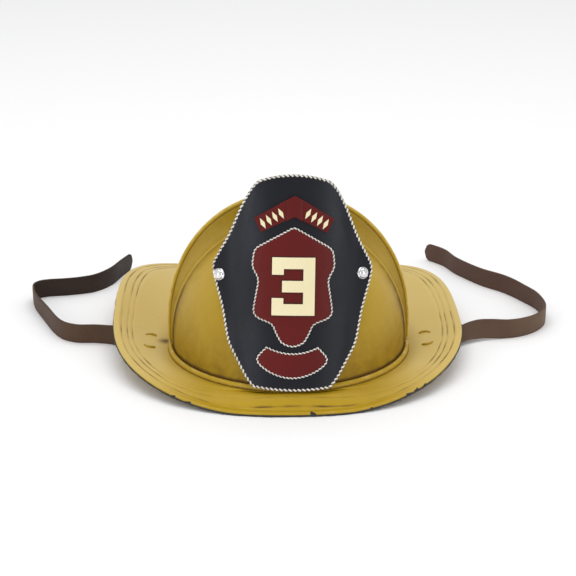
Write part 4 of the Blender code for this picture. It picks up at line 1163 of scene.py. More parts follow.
@dataclass
class Shield:
    """The leather front: black plate, red panels, banner and figure, edged with cord and screwed on."""

    crown: Crown
    thick: float = 0.0025
    lean: float = math.radians(14)
    bend: float = 0.115
    standoff: float = 0.0095
    lift: float = 0.0025
    top: float = 0.1705
    edge_cord: float = 0.0012
    panel_cord: float = 0.0010
    edge_twist: Triple = (0.92, 0.0036, 0.30)
    panel_twist: Triple = (0.76, 0.0030, 0.22)
    # Painted highlights: lighter vertical bands on the plate where the side lamps reflect in the bent leather,
    # each as strength, distance from the middle and width.
    highlight_bands: tuple[Triple, ...] = ((1.0, 0.031, 0.009), (0.7, 0.050, 0.004))
    askew: float = math.radians(1.3)
    askew_about: float = 0.020
    patch: float = 0.0013
    side: Outline = (
        (0.0309, 0.0024), (0.0367, 0.0086), (0.0532, 0.0376), (0.0585, 0.0650), (0.0657, 0.0870),
        (0.0684, 0.0980), (0.0532, 0.1224), (0.0416, 0.1482), (0.0344, 0.1605), (0.0290, 0.1655))
    panel_foot: float = 0.036
    panel_top: float = 0.1285
    panel_side: Outline = (
        (0.0090, 0.0395), (0.0130, 0.0463), (0.0155, 0.0536), (0.0280, 0.0580), (0.0310, 0.0620),
        (0.0305, 0.0675), (0.0268, 0.0886), (0.0325, 0.0980), (0.0307, 0.1120), (0.0030, 0.1275))
    scroll_foot: float = 0.011
    scroll_top: float = 0.030
    scroll_side: Outline = (
        (0.0200, 0.0170), (0.0262, 0.0215), (0.0280, 0.0265), (0.0200, 0.0350))
    banner_half: float = 0.031
    banner_top: float = 0.154
    banner_band: float = 0.0164
    banner_drop: float = 0.018
    banner_slant: float = 0.0055
    fold_share: float = 0.2
    lozenge: tuple[float, float] = (0.0017, 0.0046)
    lozenge_places: tuple[float, ...] = (0.36, 0.52, 0.68, 0.84)
    figure_foot: float = 0.0604
    figure_stroke: float = 0.009
    figure_space: float = 0.0092
    figure_half: float = 0.0165
    figure_serif: float = 0.0046
    figure_inset: float = 0.0078
    figure_outline: float = 0.0007
    screw_across: float = 0.0590
    screw_up: float = 0.0918
    screw_head: float = 0.0048
    screw_rise: float = 0.0034
    screw_shank: float = 0.0019
    screw_length: float = 0.031

    def on(self, across: Array, up: Array, out: Array | float, level: bool = False) -> Array:
        """Points on the bent, leaning face.

        Args:
            across: distance along the bend from the middle.
            up: distance up the face from its foot.
            out: distance in front of the face.
            level: whether to leave out the shield's small turn on its screws.

        Returns:
            Points: x is radius sin(turn), and radius cos(turn) - bend runs along the leaning normal.
        """
        across, up, out = np.broadcast_arrays(across, up, out)
        if not level:
            rise = up - self.askew_about
            across, up = across + rise * math.sin(self.askew), up - across * math.sin(self.askew)
        turn = across / self.bend
        forward = (self.bend + out) * np.cos(turn) - self.bend
        c, s = math.cos(self.lean), math.sin(self.lean)
        y = self.crown.comb_y - (self.crown.front + self.standoff) + up * s - forward * c
        return np.stack([(self.bend + out) * np.sin(turn), y,
                         self.crown.foot + self.lift + up * c + forward * s], -1)

    def normal(self, across: Array) -> Array:
        """The face's outward normal at a distance along the bend."""
        turn = np.asarray(across) / self.bend
        c, s = math.cos(self.lean), math.sin(self.lean)
        return np.stack([np.sin(turn), -c * np.cos(turn), s * np.cos(turn)], -1)

    @staticmethod
    def rounded(side: Outline, radius: float) -> Array:
        """The right-hand side with each corner rounded: a parabola from radius before it to radius after it.

        Args:
            side: the side's corners from foot to top.
            radius: how far from each corner the rounding starts.

        Returns:
            The rounded side.
        """
        points = np.array(side, float)
        made = [points[:1]]
        t = np.linspace(0, 1, 7)[:, None]
        for before, corner, after in zip(points[:-2], points[1:-1], points[2:]):
            reach_in = min(radius, np.linalg.norm(corner - before) / 2)
            reach_out = min(radius, np.linalg.norm(after - corner) / 2)
            a = corner + (before - corner) / np.linalg.norm(before - corner) * reach_in
            b = corner + (after - corner) / np.linalg.norm(after - corner) * reach_out
            made.append(a * (1 - t) ** 2 + 2 * corner * t * (1 - t) + b * t**2)
        made.append(points[-1:])
        path = np.concatenate(made)
        return path[np.concatenate([[True], np.linalg.norm(np.diff(path, axis=0), axis=1) > 1e-6])]

    @staticmethod
    def fill(side: Array, foot: float, top: float, rows: int, columns: int) -> Array:
        """A grid of (across, up) between the foot's arc, the two sides and the top's arc.

        A row's middle goes evenly from foot to top, its ends follow the side, with a parabola between.

        Args:
            side: the right-hand side.
            foot: height of the foot's middle.
            top: height of the top's middle.
            rows: about how many rows.
            columns: points in each row.

        Returns:
            The grid.
        """
        along = even_path(side, np.linalg.norm(np.diff(side, axis=0), axis=1).sum() / rows, False)
        share = np.linspace(-1, 1, columns)
        climb = (along[:, 1] - along[0, 1]) / (along[-1, 1] - along[0, 1])
        middle = foot + (top - foot) * climb
        x = along[:, :1] * share[None]
        return np.stack([x, middle[:, None] + (along[:, 1] - middle)[:, None] * share[None] ** 2], -1)

    @staticmethod
    def border(grid: Array) -> Array:
        """The grid's outline, counter-clockwise."""
        return np.concatenate([grid[0], grid[1:, -1], grid[-1, -2::-1], grid[-2:0:-1, 0]])

    @staticmethod
    def shrink(path: Array, distance: float) -> Array:
        """A closed outline moved inwards."""
        along = unit(np.roll(path, -1, 0) - np.roll(path, 1, 0))
        return path + distance * np.stack([-along[:, 1], along[:, 0]], 1)

    def inner_grid(self, grid: Array, distance: float) -> Array:
        """A grid whose outline is moved in, each point by its own share of the way out from the middle.

        Args:
            grid: the outer grid.
            distance: how far the outline moves.

        Returns:
            The smaller grid.
        """
        half = grid[:, -1, 0]
        new = grid.copy()
        lean = unit(np.gradient(grid[:, -1], axis=0))
        pull = distance / np.maximum(np.abs(lean[:, 1]), 0.55)
        new[..., 0] = grid[..., 0] * ((half - pull) / half)[:, None]
        share = np.linspace(-1, 1, len(grid))[:, None]
        new[..., 1] = grid[..., 1] - distance * share * np.abs(share) ** 3
        return new

    def leather(self, name: str, node: str, grid: Array, low: float, high: float, finish: Material,
                slot: str, pillow: float) -> None:
        """A flat piece of leather bent to the face, its edges turned down and its middle slightly full.

        Args:
            name: its name.
            node: its solid.
            grid: its (across, up) points.
            low: its back's distance from the face.
            high: its front's distance from the face.
            finish: its material.
            slot: not used.
            pillow: how full its middle is.
        """
        rows, columns = grid.shape[:2]
        i = np.minimum(np.arange(rows), np.arange(rows)[::-1])[:, None] / rows
        j = np.minimum(np.arange(columns), np.arange(columns)[::-1])[None] / columns
        inside = np.minimum(i, j)
        full = pillow * smooth_share(inside, 0, 0.12)
        waves = 0.25 * pillow * np.sin(130 * grid[..., 0] + 1) * np.sin(90 * grid[..., 1])
        outer = self.on(grid[..., 0], grid[..., 1], high - pillow + full + waves * smooth_share(inside, 0, 0.1))
        inner = self.on(grid[..., 0], grid[..., 1], low)
        wear = 0.5 * np.exp(-inside * 60)
        # Painted highlight: lighter vertical bands, drawn in the leather's second colour through the side
        # number.
        highlight_band = sum(share * bump(np.abs(grid[..., 0]), middle, width) for share, middle, width in self.highlight_bands)
        highlight_band = np.clip(highlight_band, 0, 1) * (0.7 + 0.3 * np.sin(60 * grid[..., 1]))
        shape = Shape().slab(outer, inner, wear=wear, side=highlight_band)
        MAKER.piece(name, shape, [finish], replaces=[node], sharp=45,
                    round_edge=0.0003)

    def rope(self, name: str, node: str, outline: Array, out: float, cord: float, twist: Triple) -> None:
        """A light and a thinner dark strand twisted round each other along a closed outline.

        Each strand's middle circles the path at part of the cord's radius, once in each pitch; its own
        section is a slightly flattened circle that turns with it.

        Args:
            name: its name.
            node: its solid.
            outline: (across, up) of the cord's middle line.
            out: distance of the cord's middle from the face.
            cord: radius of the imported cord.
            twist: share of that radius, pitch, and the dark strand's share.
        """
        radius, pitch, dark = twist[0] * cord, *twist[1:]
        flat = even_path(outline, 0.00042, True)
        path = self.on(flat[:, 0], flat[:, 1], out)
        path = (np.roll(path, 1, 0) + 2 * path + np.roll(path, -1, 0)) / 4
        step = np.linalg.norm(np.roll(path, -1, 0) - path, axis=1)
        length = step.sum()
        turns = max(1, round(length / pitch))
        run = np.concatenate([[0], np.cumsum(step)[:-1]]) / length
        _, normal, across = frames_along(path, self.normal(flat[:, 0]), True)
        shape = Shape()
        # The thin dark strand fills the gaps between the light strand's turns: painted shade of those gaps.
        for strand, (reach, thick) in enumerate(((0.30, 0.74), (0.58, dark))):
            spin = TAU * turns * run + math.pi * strand
            c, s = np.cos(spin)[:, None], np.sin(spin)[:, None]
            middle = path + reach * radius * (normal * c + across * s)
            ring = circle(1.0, 7) * (thick * radius, 1.1 * thick * radius)
            outwards, sideways = normal * c + across * s, across * c - normal * s
            grid = (middle[:, None] + outwards[:, None] * ring[None, :, :1]
                    + sideways[:, None] * ring[None, :, 1:])
            turn = np.broadcast_to(np.linspace(0, 1, 7)[None] + (run * length / 0.02)[:, None], grid.shape[:2])
            shape.grid(grid, True, True, slot=strand, turn=turn)
        MAKER.piece(name, shape, [CORD, CORD_GAP_SHADE], replaces=[node], sharp=70)

    def plate(self) -> None:
        """The black leather plate with its cord."""
        side = self.rounded(self.side, 0.006)
        grid = self.fill(side, 0.0, self.top, 90, 81)
        plate = self.inner_grid(grid, 2 * self.edge_cord - 0.0011)
        self.leather("shield_black_plate", "shield_plate", plate, -self.thick, 0.0, SHIELD_BLACK,
                     "shield_leather",
                     0.0005)
        outline = self.border(grid)
        self.rope("shield_twisted_edging", "shield_edge_cord", self.shrink(outline, self.edge_cord),
                  -self.thick / 2 + 0.0004, self.edge_cord, self.edge_twist)

    def panels(self) -> None:
        """The red panel and the crescent under it, each with its own finer cord."""
        for name, node, side, foot, top, rounding in (
            ("shield_red_panel", "shield_panel", self.panel_side, self.panel_foot, self.panel_top, 0.0042),
            ("shield_red_crescent", "shield_scroll", self.scroll_side, self.scroll_foot, self.scroll_top, 0.004),
        ):
            grid = self.fill(self.rounded(side, rounding), foot, top, 56, 49)
            inner = self.inner_grid(grid, 0.4 * self.panel_cord)
            self.leather(name, node, inner, GAP / 2, GAP + self.patch, SHIELD_RED, "red_leather", 0.0004)
            self.rope(name + "_edging", node + "_cord", self.border(grid), GAP + 0.8 * self.panel_cord,
                      self.panel_cord, self.panel_twist)

    def banner(self) -> None:
        """The folded red ribbon over the panel: two limbs, a folded top between them, and generic lozenges.

        A limb's points run out along the slope of the banner's drop, and the folded top stands over both."""
        shape = Shape()
        for sign in (-1, 1):
            share = np.linspace(0.14, 1, 30)
            band = np.linspace(0, 1, 9)
            s, v = np.meshgrid(share, band, indexing="ij")
            half = self.banner_half - self.banner_slant * (1 - v)
            drop = self.banner_drop * v + (self.banner_drop - self.banner_slant) * (1 - v)
            x = sign * half * s
            up = self.banner_top - self.banner_band * (1 - v) - drop * s
            curl = 0.0007 * bump(s, 1.0, 0.06) - 0.0003 * bump(s, 0.14, 0.1)
            outer = self.on(x, up, GAP + self.patch + curl)
            shape.slab(outer, self.on(x, up, GAP / 2), wear=0.5 * bump(v, 0, 0.05) + 0.5 * bump(v, 1, 0.05))
        share = np.linspace(-self.fold_share, self.fold_share, 25)
        band = np.linspace(0, 1, 9)
        s, v = np.meshgrid(share, band, indexing="ij")
        up = self.banner_top - self.banner_band * (1 - v) - self.banner_drop * np.sqrt(s * s + 0.0006)
        x = self.banner_half * s
        outer = self.on(x, up, GAP + self.patch + 0.0007 - 0.0006 * (s / self.fold_share) ** 4)
        shape.slab(outer, self.on(x, up, GAP + 0.6 * self.patch),
                   wear=0.4 * bump(np.abs(s), self.fold_share, 0.02))
        MAKER.piece("shield_folded_banner", shape, [SHIELD_RED], replaces=["shield_banner"],
                    round_edge=0.00025)
        lozenges = Shape()
        for sign in (-1, 1):
            for place in self.lozenge_places:
                self.add_lozenge(lozenges, sign, place)
        MAKER.piece("banner_lozenges", lozenges, [CREAM], round_edge=0.0001)

    def add_lozenge(self, shape: Shape, sign: int, place: float) -> None:
        """A small raised diamond on a limb of the banner, long way across the band.

        Args:
            shape: the shape that it is added to.
            sign: -1 for the left limb, 1 for the right.
            place: its share of the way along the limb.
        """
        x = sign * self.banner_half * place * 0.93
        up = self.banner_top - self.banner_band / 2 - self.banner_drop * place * 0.92
        slope = math.atan2(-sign * self.banner_drop, self.banner_half)
        wide, high = self.lozenge
        ring = np.array([(0, high), (wide, 0), (0, -high), (-wide, 0)])
        c, s = math.cos(slope), math.sin(slope)
        flat = ring @ np.array([(c, s), (-s, c)]) + (x, up)
        levels = [self.on(flat[:, 0], flat[:, 1], GAP + self.patch - 0.0002),
                  self.on(flat[:, 0], flat[:, 1], GAP + self.patch + 0.0008)]
        shape.grid(np.stack(levels), True, caps=True)

    def figure(self) -> None:
        """A plain block figure three in cream on a thin dark outline, both cut from flat outlines."""
        h, t = self.figure_half, self.figure_stroke
        top = 3 * t + 2 * self.figure_space
        serif, inset = self.figure_serif, self.figure_inset
        ring = [(-h, 0), (h, 0), (h, top), (-h, top), (-h, top - t - serif), (-h + t, top - t - serif),
                (-h + t, top - t), (h - t, top - t), (h - t, top - t - self.figure_space),
                (-h + inset, top - t - self.figure_space), (-h + inset, t + self.figure_space),
                (h - t, t + self.figure_space), (h - t, t), (-h + t, t), (-h + t, t + serif), (-h, t + serif)]
        low = GAP + self.patch
        self.cut_figure("figure_dark_outline", ring, self.figure_outline, low - 0.0002, low + 0.0003, OUTLINE,
                        [])
        self.cut_figure("figure_three", ring, 0.0, low, low + 0.0011, CREAM, ["shield_numeral"])

    def cut_figure(self, name: str, ring: list[tuple[float, float]], grow: float, low: float, high: float,
                   finish: Material, replaces: list[str]) -> None:
        """A figure cut from sheet: its outline, grown, filled and given a thickness, then bent to the face.

        Args:
            name: its name.
            ring: its outline, counter-clockwise.
            grow: how far the outline is moved out.
            low: its back's distance from the face.
            high: its front's distance from the face.
            finish: its material.
            replaces: its solids.
        """
        points = np.array(ring, float)
        before, after = points - np.roll(points, 1, 0), np.roll(points, -1, 0) - points
        out = np.stack([np.sign(before[:, 1] + after[:, 1]), -np.sign(before[:, 0] + after[:, 0])], 1)
        points = points + grow * out + (0, self.figure_foot)
        flat = bmesh.new()
        face = flat.faces.new([flat.verts.new((x, y, 0)) for x, y in points])
        for cut in np.arange(-self.figure_half, self.figure_half, 0.0022):
            geometry = flat.verts[:] + flat.edges[:] + flat.faces[:]
            bmesh.ops.bisect_plane(flat, geom=geometry, plane_co=(cut, 0, 0), plane_no=(1, 0, 0))
        grown = bmesh.ops.extrude_face_region(flat, geom=flat.faces[:])["geom"]
        raised = {g for g in grown if isinstance(g, bmesh.types.BMVert)}
        flat.verts.index_update()
        coordinates = np.array([v.co for v in flat.verts])
        heights = np.array([high if v in raised else low for v in flat.verts])
        shape = Shape()
        shape.points = [self.on(coordinates[:, 0], coordinates[:, 1], heights)]
        shape.faces = [tuple(v.index for v in face.verts) for face in flat.faces]
        shape.slots = [0] * len(shape.faces)
        flat.free()
        MAKER.piece(name, shape, [finish], replaces=replaces, sharp=30, round_edge=0.00022)

    def fixings(self) -> None:
        """The chrome screws with their collars, the rubber spacers and wedges, and the nuts inside."""
        for name, sign in (("left", -1), ("right", 1)):
            place = Vector(self.on(sign * self.screw_across, self.screw_up, 0.0, level=True))
            axis = Vector(self.normal(sign * self.screw_across))
            head, rise = self.screw_head, self.screw_rise
            dome = [(0.86 * head * math.cos(t), 0.0009 + rise * 0.8 * math.sin(t))
                    for t in np.linspace(0, math.pi / 2, 9)]
            shank = self.screw_shank
            profile = [(shank, -self.screw_length), (shank, 0.0001), (head, 0.0001), (1.04 * head, 0.0005),
                       (0.97 * head, 0.0010), (0.88 * head, 0.0007)] + dome
            MAKER.piece("shield_domed_screw_" + name,
                        Shape().grid(lathe(place, axis, profile, 36), True, caps=True),
                        [CHROME], replaces=["shield_screw_" + name], sharp=35)
            for part, finish, slot in (("spacer", RUBBER, "black_rubber"),
                                       ("wedge_washer", RUBBER, "black_rubber"),
                                       ("nut", ZINC, "zinc_steel")):
                self.keep(f"shield_{part}_{name}", finish, slot)

    @staticmethod
    def keep(node: str, finish: Material, slot: str) -> None:
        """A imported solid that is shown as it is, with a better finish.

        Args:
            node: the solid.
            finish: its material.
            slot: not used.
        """
        solid = frame["nodes"][node]
        solid.data.materials.clear()
        solid.data.materials.append(finish)
        MAKER.count += 1
        LOG.info("%s: kept", node)

    def build(self) -> None:
        """Makes all of the shield's pieces."""
        self.plate()
        self.panels()
        self.banner()
        self.figure()
        self.fixings()


# Chin straps

class Side(Enum):
    """The two sides of the helmet, by the sign of x."""

    LEFT = -1
    RIGHT = 1

    @property
    def word(self) -> str:
        """The side's name in lower case."""
        return self.name.lower()


@dataclass
class ChinStrap:
    """One leather strap with its hanger and rivet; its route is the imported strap's own."""

    side: Side
    route: Outline
    twist: tuple[float, float]
    width: float = 0.017
    thick: float = 0.002
    wire: float = 0.0011
    loop_gap: float = 0.0004
    rest: float = 0.0001
    tail: float = 0.0115
    hanger_half: float = 0.013
    rivet_out: float = 0.0085
    step: float = 0.002
    rounding: float = 0.42
    crease: float = 0.00035
    ripple: float = 0.0004
    sides: int = 18

    def __post_init__(self) -> None:
        """Finds the hanger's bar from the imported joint."""
        joint = next(j for j in frame["joints"] if j["child"] == self.side.word + "_strap")
        self.bar = np.array(joint["pos_m"], float)
        self.body = self.side.word + "_strap"

    def stations(self) -> tuple[Array, Array, Array]:
        """The strap's middle line, from its tail over the loop to its end.

        The tail lies over the strap, the loop goes round the bar at wire plus half the leather, and the rest
        turns smoothly from flat to upright between the twist's two distances.

        Returns:
            The points, the direction of the strap's width at each, and the run from the bar, -1 before it.
        """
        loop = self.wire + self.loop_gap + self.thick / 2
        tail_z = -loop + self.thick + GAP
        table = self.rest + self.width / 2 - self.bar[2]
        turn = np.radians(np.linspace(70, 270, 17))
        tail = np.array([(self.tail, 0, tail_z), (0.0088, 0, tail_z), (0.006, 0, tail_z + 0.0001),
                         (0.003, 0, 0.4 * loop + 0.6 * tail_z + 0.0006)])
        ring = np.stack([loop * np.cos(turn), 0 * turn, loop * np.sin(turn)], 1)
        flat = even_path(catmull_rom(np.array(self.route), 12), self.step, False)
        run = run_along(flat)
        way = unit(np.gradient(flat, axis=0))
        angle = math.pi / 2 * smooth_share(run, *self.twist)
        height = (-loop * np.cos(angle) + table * np.sin(angle)
                  + self.bar[2] * (np.cos(angle) + np.sin(angle) - 1))
        lie = np.stack([flat[:, 0], flat[:, 1], height], 1)[1:]
        width = np.stack([-way[:, 1] * np.cos(angle), way[:, 0] * np.cos(angle), np.sin(angle)], 1)[1:]
        bound = np.tile([0.0, 1.0, 0.0], (len(tail) + len(ring), 1))
        middle = np.concatenate([tail, ring, lie])
        middle[:, 0] *= self.side.value
        width = np.concatenate([bound, width])
        width[:, 0] *= self.side.value
        before = -np.ones(len(tail) + len(ring))
        return middle + self.bar, width, np.concatenate([before, run[1:]])

    def strap(self) -> Object:
        """The leather strap: a soft rectangle along its line, creased, its end rounded and its edges burnished.

        Returns:
            The strap's object.
        """
        middle, width, run = self.stations()
        end = run[-1]
        nose = self.width * self.rounding
        fall = np.clip((run - (end - nose)) / nose, 0, 1)
        half = np.sqrt(np.maximum(1 - fall**2.4, 0.03))
        box = soft_box(self.width, self.thick, self.sides, 6.0)
        section = box[None] * np.stack([half, 0.75 + 0.25 * half], 1)[:, None]
        creases = self.crease * np.sin(run * 95 + self.side.value) * smooth_share(run, 0.05, 0.09)
        section[..., 1] += creases[:, None]
        ripple = self.ripple * np.sin(run * 61) * smooth_share(run, 0.05, 0.08)
        section[..., 1] += ripple[:, None] * (section[..., 0] / self.width) * 2
        grid = carry(middle, width, section)
        face = np.broadcast_to(box[None, :, 1], grid.shape[:2])
        side_tone = (face * self.side.value < 0).astype(float)
        edge = np.broadcast_to(np.abs(box[None, :, 0]) / (self.width / 2), grid.shape[:2])
        rub = 0.5 * smooth_share(edge, 0.9, 1.0) * (0.5 + 0.5 * np.sin(run * 40))[:, None]
        shape = Shape().grid(grid, True, caps=True, side=side_tone, wear=rub,
                             grime=smooth_share(edge, 0.93, 1) * 0.4)
        leather = STRAP_LEFT if self.side is Side.LEFT else STRAP_RIGHT
        made = MAKER.piece("leather_chin_strap_" + self.side.word, shape, [leather], body=self.body,
                           replaces=["chin_strap_" + self.side.word], sharp=60)
        rivet = self.rivet()
        return made

    def rivet(self) -> Object:
        """The rivet that closes the loop, headed on both faces.

        Returns:
            The rivet's object.
        """
        loop = self.wire + self.loop_gap + self.thick / 2
        low, high = -loop - self.thick / 2 - 0.0001, -loop + 1.5 * self.thick + GAP + 0.0001
        cap = rivet_cap(6)
        profile = ([(r, low - h) for r, h in reversed(cap)] + [(RIVET_SHANK, low), (RIVET_SHANK, high)]
                   + [(r, high + h) for r, h in cap])
        place = Vector(self.bar + (self.side.value * self.rivet_out, 0, 0))
        shape = Shape().grid(lathe(place, Vector((0, 0, 1)), profile), True, caps=True)
        return MAKER.piece("loop_rivet_" + self.side.word, shape, [ZINC], body=self.body,
                           replaces=["strap_rivet_" + self.side.word])

    def hanger(self, brim_top: float) -> None:
        """The wire staple: its bar under the brim, its legs through it and its ends clinched on top.

        Args:
            brim_top: height of the brim's top at the hanger.
        """
        top = brim_top + self.wire + 0.0004
        half, bar = self.hanger_half, self.bar[2]
        out = self.side.value
        near = [(0.0085, half - 0.0022, top + 0.0001), (0.0065, half + 0.0006, top),
                (0.0030, half + 0.0012, top - 0.0002), (0.0008, half + 0.0006, top - 0.0007),
                (0, half, top - 0.002), (0, half, bar + 0.002), (0, half - 0.001, bar + 0.0005),
                (0, half - 0.003, bar)]
        bow = near + [(x, -y, z) for x, y, z in reversed(near)]
        path = catmull_rom(np.array([(self.bar[0] + out * x, self.bar[1] - y, z) for x, y, z in bow]), 5)
        grid = carry(path, np.tile([0.3, 0.2, 1.0], (len(path), 1)), circle(self.wire, 12))
        painted = smooth_share(path[:, 2], brim_top - 0.001, brim_top)[:, None] * np.ones((1, 12))
        # The painted ends are evenly darker: soiling, and painted shade under the clinched wire.
        shape = Shape().grid(grid, True, caps=True, grime=0.3 * painted)
        level = np.concatenate(shape.points)[:, 2]
        faces = np.array([level[list(face)].mean() for face in shape.faces])
        shape.slots = (faces > brim_top - 0.0005).astype(int).tolist()
        MAKER.piece("wire_hanger_" + self.side.word, shape, [ZINC, PAINT],
                    replaces=["strap_hanger_" + self.side.word])

    def build(self, brim_top: float) -> None:
        """Makes the strap, its rivet and its hanger."""
        self.strap()
        self.hanger(brim_top)


# Liner

@dataclass
class Liner:
    """Steel hoop and clips, plastic headband, leather sweatband, webbing cradle and the pad at its top."""

    crown: Crown
    hoop_inset: float = 0.0024
    sheet: float = 0.0012
    clip_gap: float = 0.0004
    clip_reach: float = 0.0089
    gap: float = 0.0005
    hoop_span: tuple[float, float] = (0.013, 0.025)
    band_span: tuple[float, float] = (0.008, 0.046)
    sweat_span: tuple[float, float] = (0.010, 0.034)
    sweat_thick: float = 0.0015
    clip_heights: Triple = (0.014, 0.026, 0.044)
    clip_half: float = 0.007
    angles: tuple[int, ...] = (45, 135, 225, 315)
    web_width: float = 0.014
    cradle_foot: float = 0.032
    cradle_drop: float = 0.0289
    cradle_flat: float = 0.028
    cradle_end: float = 0.013
    pad_radius: float = 0.026
    pad_thick: float = 0.0032
    rivet_heights: tuple[float, float] = (0.019, 0.039)
    stitch_count: int = 84
    stitch_drop: float = 0.0028
    stitch_radius: float = 0.00035

    def __post_init__(self) -> None:
        """Works out the insets of each layer from the ones outside it."""
        self.clip_inset = self.hoop_inset + self.sheet + self.clip_gap
        self.tab_inset = self.clip_inset + self.clip_reach
        self.cradle_inset = self.tab_inset + self.sheet + self.gap
        self.band_inset = self.cradle_inset + self.sheet + self.gap
        self.sweat_inset = self.band_inset + self.sheet + self.clip_gap
        self.cradle_top = self.crown.base + self.crown.rise - self.crown.wall - self.cradle_drop
        self.middle = np.array([0.0, (self.crown.rear - self.crown.front) / 2 + self.crown.comb_y])

    def hoop(self, name: str, section: Array, finish: Material, slot: str, node: str,
             middle: float | None = None, half: float = 0.0) -> None:
        """A section carried round the crown's outline, or over an arc of it.

        Args:
            name: its name.
            section: (outset, height) of its corners.
            finish: its material.
            slot: not used.
            node: its solid.
            middle: angle of the arc's middle, all the way round if None.
            half: half the arc's angle.
        """
        turn = (np.linspace(0, TAU, 300, endpoint=False) if middle is None
                else np.linspace(middle - half, middle + half, 13))
        flat = self.crown.egg(turn[:, None] * np.ones(len(section)),
                              section[None, :, 0] * np.ones((len(turn), 1)))
        level = np.broadcast_to(section[:, 1], flat.shape[:2])[..., None]
        shape = Shape().grid(np.concatenate([flat, level], -1), True, middle is None, middle is not None)
        MAKER.piece(name, shape, [finish], replaces=[node], sharp=35, round_edge=0.00025)

    def band(self, inset: float, thick: float, span: tuple[float, float]) -> Array:
        """Section of an upright band with soft edges."""
        box = soft_box(thick, span[1] - span[0], 16, 8.0)
        return box + (-inset - thick / 2, (span[0] + span[1]) / 2)

    def bands(self) -> None:
        """The hoop, the headband, and the sweatband, slightly full in its middle, with its row of stitches."""
        self.hoop("steel_hoop", self.band(self.hoop_inset, self.sheet, self.hoop_span), ZINC, "zinc_steel",
                  "crown_hoop")
        self.hoop("plastic_headband", self.band(self.band_inset, self.sheet, self.band_span), PLASTIC,
                  "liner_plastic", "headband")
        low, high = self.sweat_span
        inset, thick = self.sweat_inset, self.sweat_thick
        up = np.linspace(0, 1, 13)
        belly = 0.0010 * np.sin(math.pi * up)
        outer = np.stack([-inset - 0 * up, low + (high - low) * up], 1)
        inner = np.stack([-inset - thick - belly, low + (high - low) * up], 1)
        self.hoop("leather_sweatband", np.concatenate([outer, inner[::-1]]), SWEAT, "sweatband_leather",
                  "sweatband")
        self.stitches(high - self.stitch_drop, inset + thick + 0.0002)

    def stitches(self, height: float, inset: float) -> None:
        """Short threads in a row round the inside of the sweatband.

        Args:
            height: height of the row.
            inset: how far it lies in from the crown's foot.
        """
        shape = Shape()
        pitch = TAU / self.stitch_count
        for k in range(self.stitch_count):
            turn = np.linspace(0, 0.62, 5) * pitch + k * pitch
            flat = self.crown.egg(turn, -inset - 0.0003 * np.sin(np.linspace(0, math.pi, 5)))
            path = np.concatenate([flat, np.full((5, 1), height)], 1)
            thread = carry(path, np.tile([0.0, 0.0, 1.0], (5, 1)), circle(self.stitch_radius, 6))
            shape.grid(thread, True, caps=True)
        MAKER.piece("sweatband_stitches", shape, [STITCH])

    def clip(self, number: int, angle: float) -> None:
        """A stepped steel tab from the hoop to the headband, as one bent strip."""
        a, b, t = -self.clip_inset, -self.tab_inset, self.sheet
        foot, step, top = self.clip_heights
        section = np.array([(a, foot), (a, step + t), (b, step + t), (b, top), (b - t, top), (b - t, step),
                            (a - t, step), (a - t, foot)])
        half = self.clip_half / np.linalg.norm(self.crown.egg(np.array(angle)) - (0, self.crown.comb_y))
        self.hoop(f"liner_tab_{number}", section, ZINC, "zinc_steel", f"liner_clip_{number}", angle, half)

    def web(self, number: int, angle: float) -> None:
        """One webbing strap from the headband to the pad: upright, a quarter ellipse inwards and a flat end."""
        foot = self.crown.egg(np.array(angle), -self.cradle_inset - self.sheet / 2)
        out = unit(foot - self.middle)
        far = float(np.linalg.norm(foot - self.middle))
        top = self.clip_heights[2]
        rise = np.linspace(self.cradle_foot, top, 7)[:-1]
        lift = np.linspace(0, math.pi / 2, 34)
        away = np.concatenate([np.full(6, far), self.cradle_flat + (far - self.cradle_flat) * np.cos(lift),
                               np.linspace(self.cradle_flat, self.cradle_end, 8)[1:]])
        up = np.concatenate([rise, top + (self.cradle_top - top) * np.sin(lift), np.full(7, self.cradle_top)])
        path = np.concatenate([self.middle + out * away[:, None], up[:, None]], 1)
        normal = self.crown.egg(np.array(angle), 1.0) - self.crown.egg(np.array(angle))
        share = np.clip(np.linspace(-0.14, 1, len(path)), 0, 1)[:, None]
        low, high = np.array([-normal[1], normal[0], 0]), np.array([-out[1], out[0], 0])
        box = soft_box(self.web_width, self.sheet, 18, 7.0)
        grid = carry(path, low + (high - low) * share, box)
        run = run_along(path)
        MAKER.piece(f"webbing_strap_{number}",
                    Shape().grid(grid, True, caps=True, run=np.broadcast_to(run[:, None], grid.shape[:2]),
                                 wide=np.broadcast_to(box[None, :, 0], grid.shape[:2])),
                    [WEB], replaces=[f"cradle_strap_{number}"])

    def rivets(self, number: int, angle: float) -> None:
        """The two rivets of each tab: hoop to tab, and tab through webbing to headband."""
        place = self.crown.egg(np.array(angle))
        normal = self.crown.egg(np.array(angle), 1.0) - place
        axis = Vector((-normal[0], -normal[1], 0))
        cap = rivet_cap(5)
        for name, height, first, last, outer in (
            ("hoop", self.rivet_heights[0], self.hoop_inset + 0.0002, self.clip_inset + self.sheet, False),
            ("band", self.rivet_heights[1], self.tab_inset, self.band_inset + self.sheet, True),
        ):
            start = [(r, first - h) for r, h in reversed(cap)] if outer else [(0.0002, first)]
            profile = start + [(RIVET_SHANK, first), (RIVET_SHANK, last)] + [(r, last + h) for r, h in cap]
            grid = lathe(Vector((*place, height)), axis, profile, 20)
            MAKER.piece(f"{name}_tab_rivet_{number}", Shape().grid(grid, True, caps=True), [ZINC],
                        replaces=[f"{name}_rivet_{number}"])

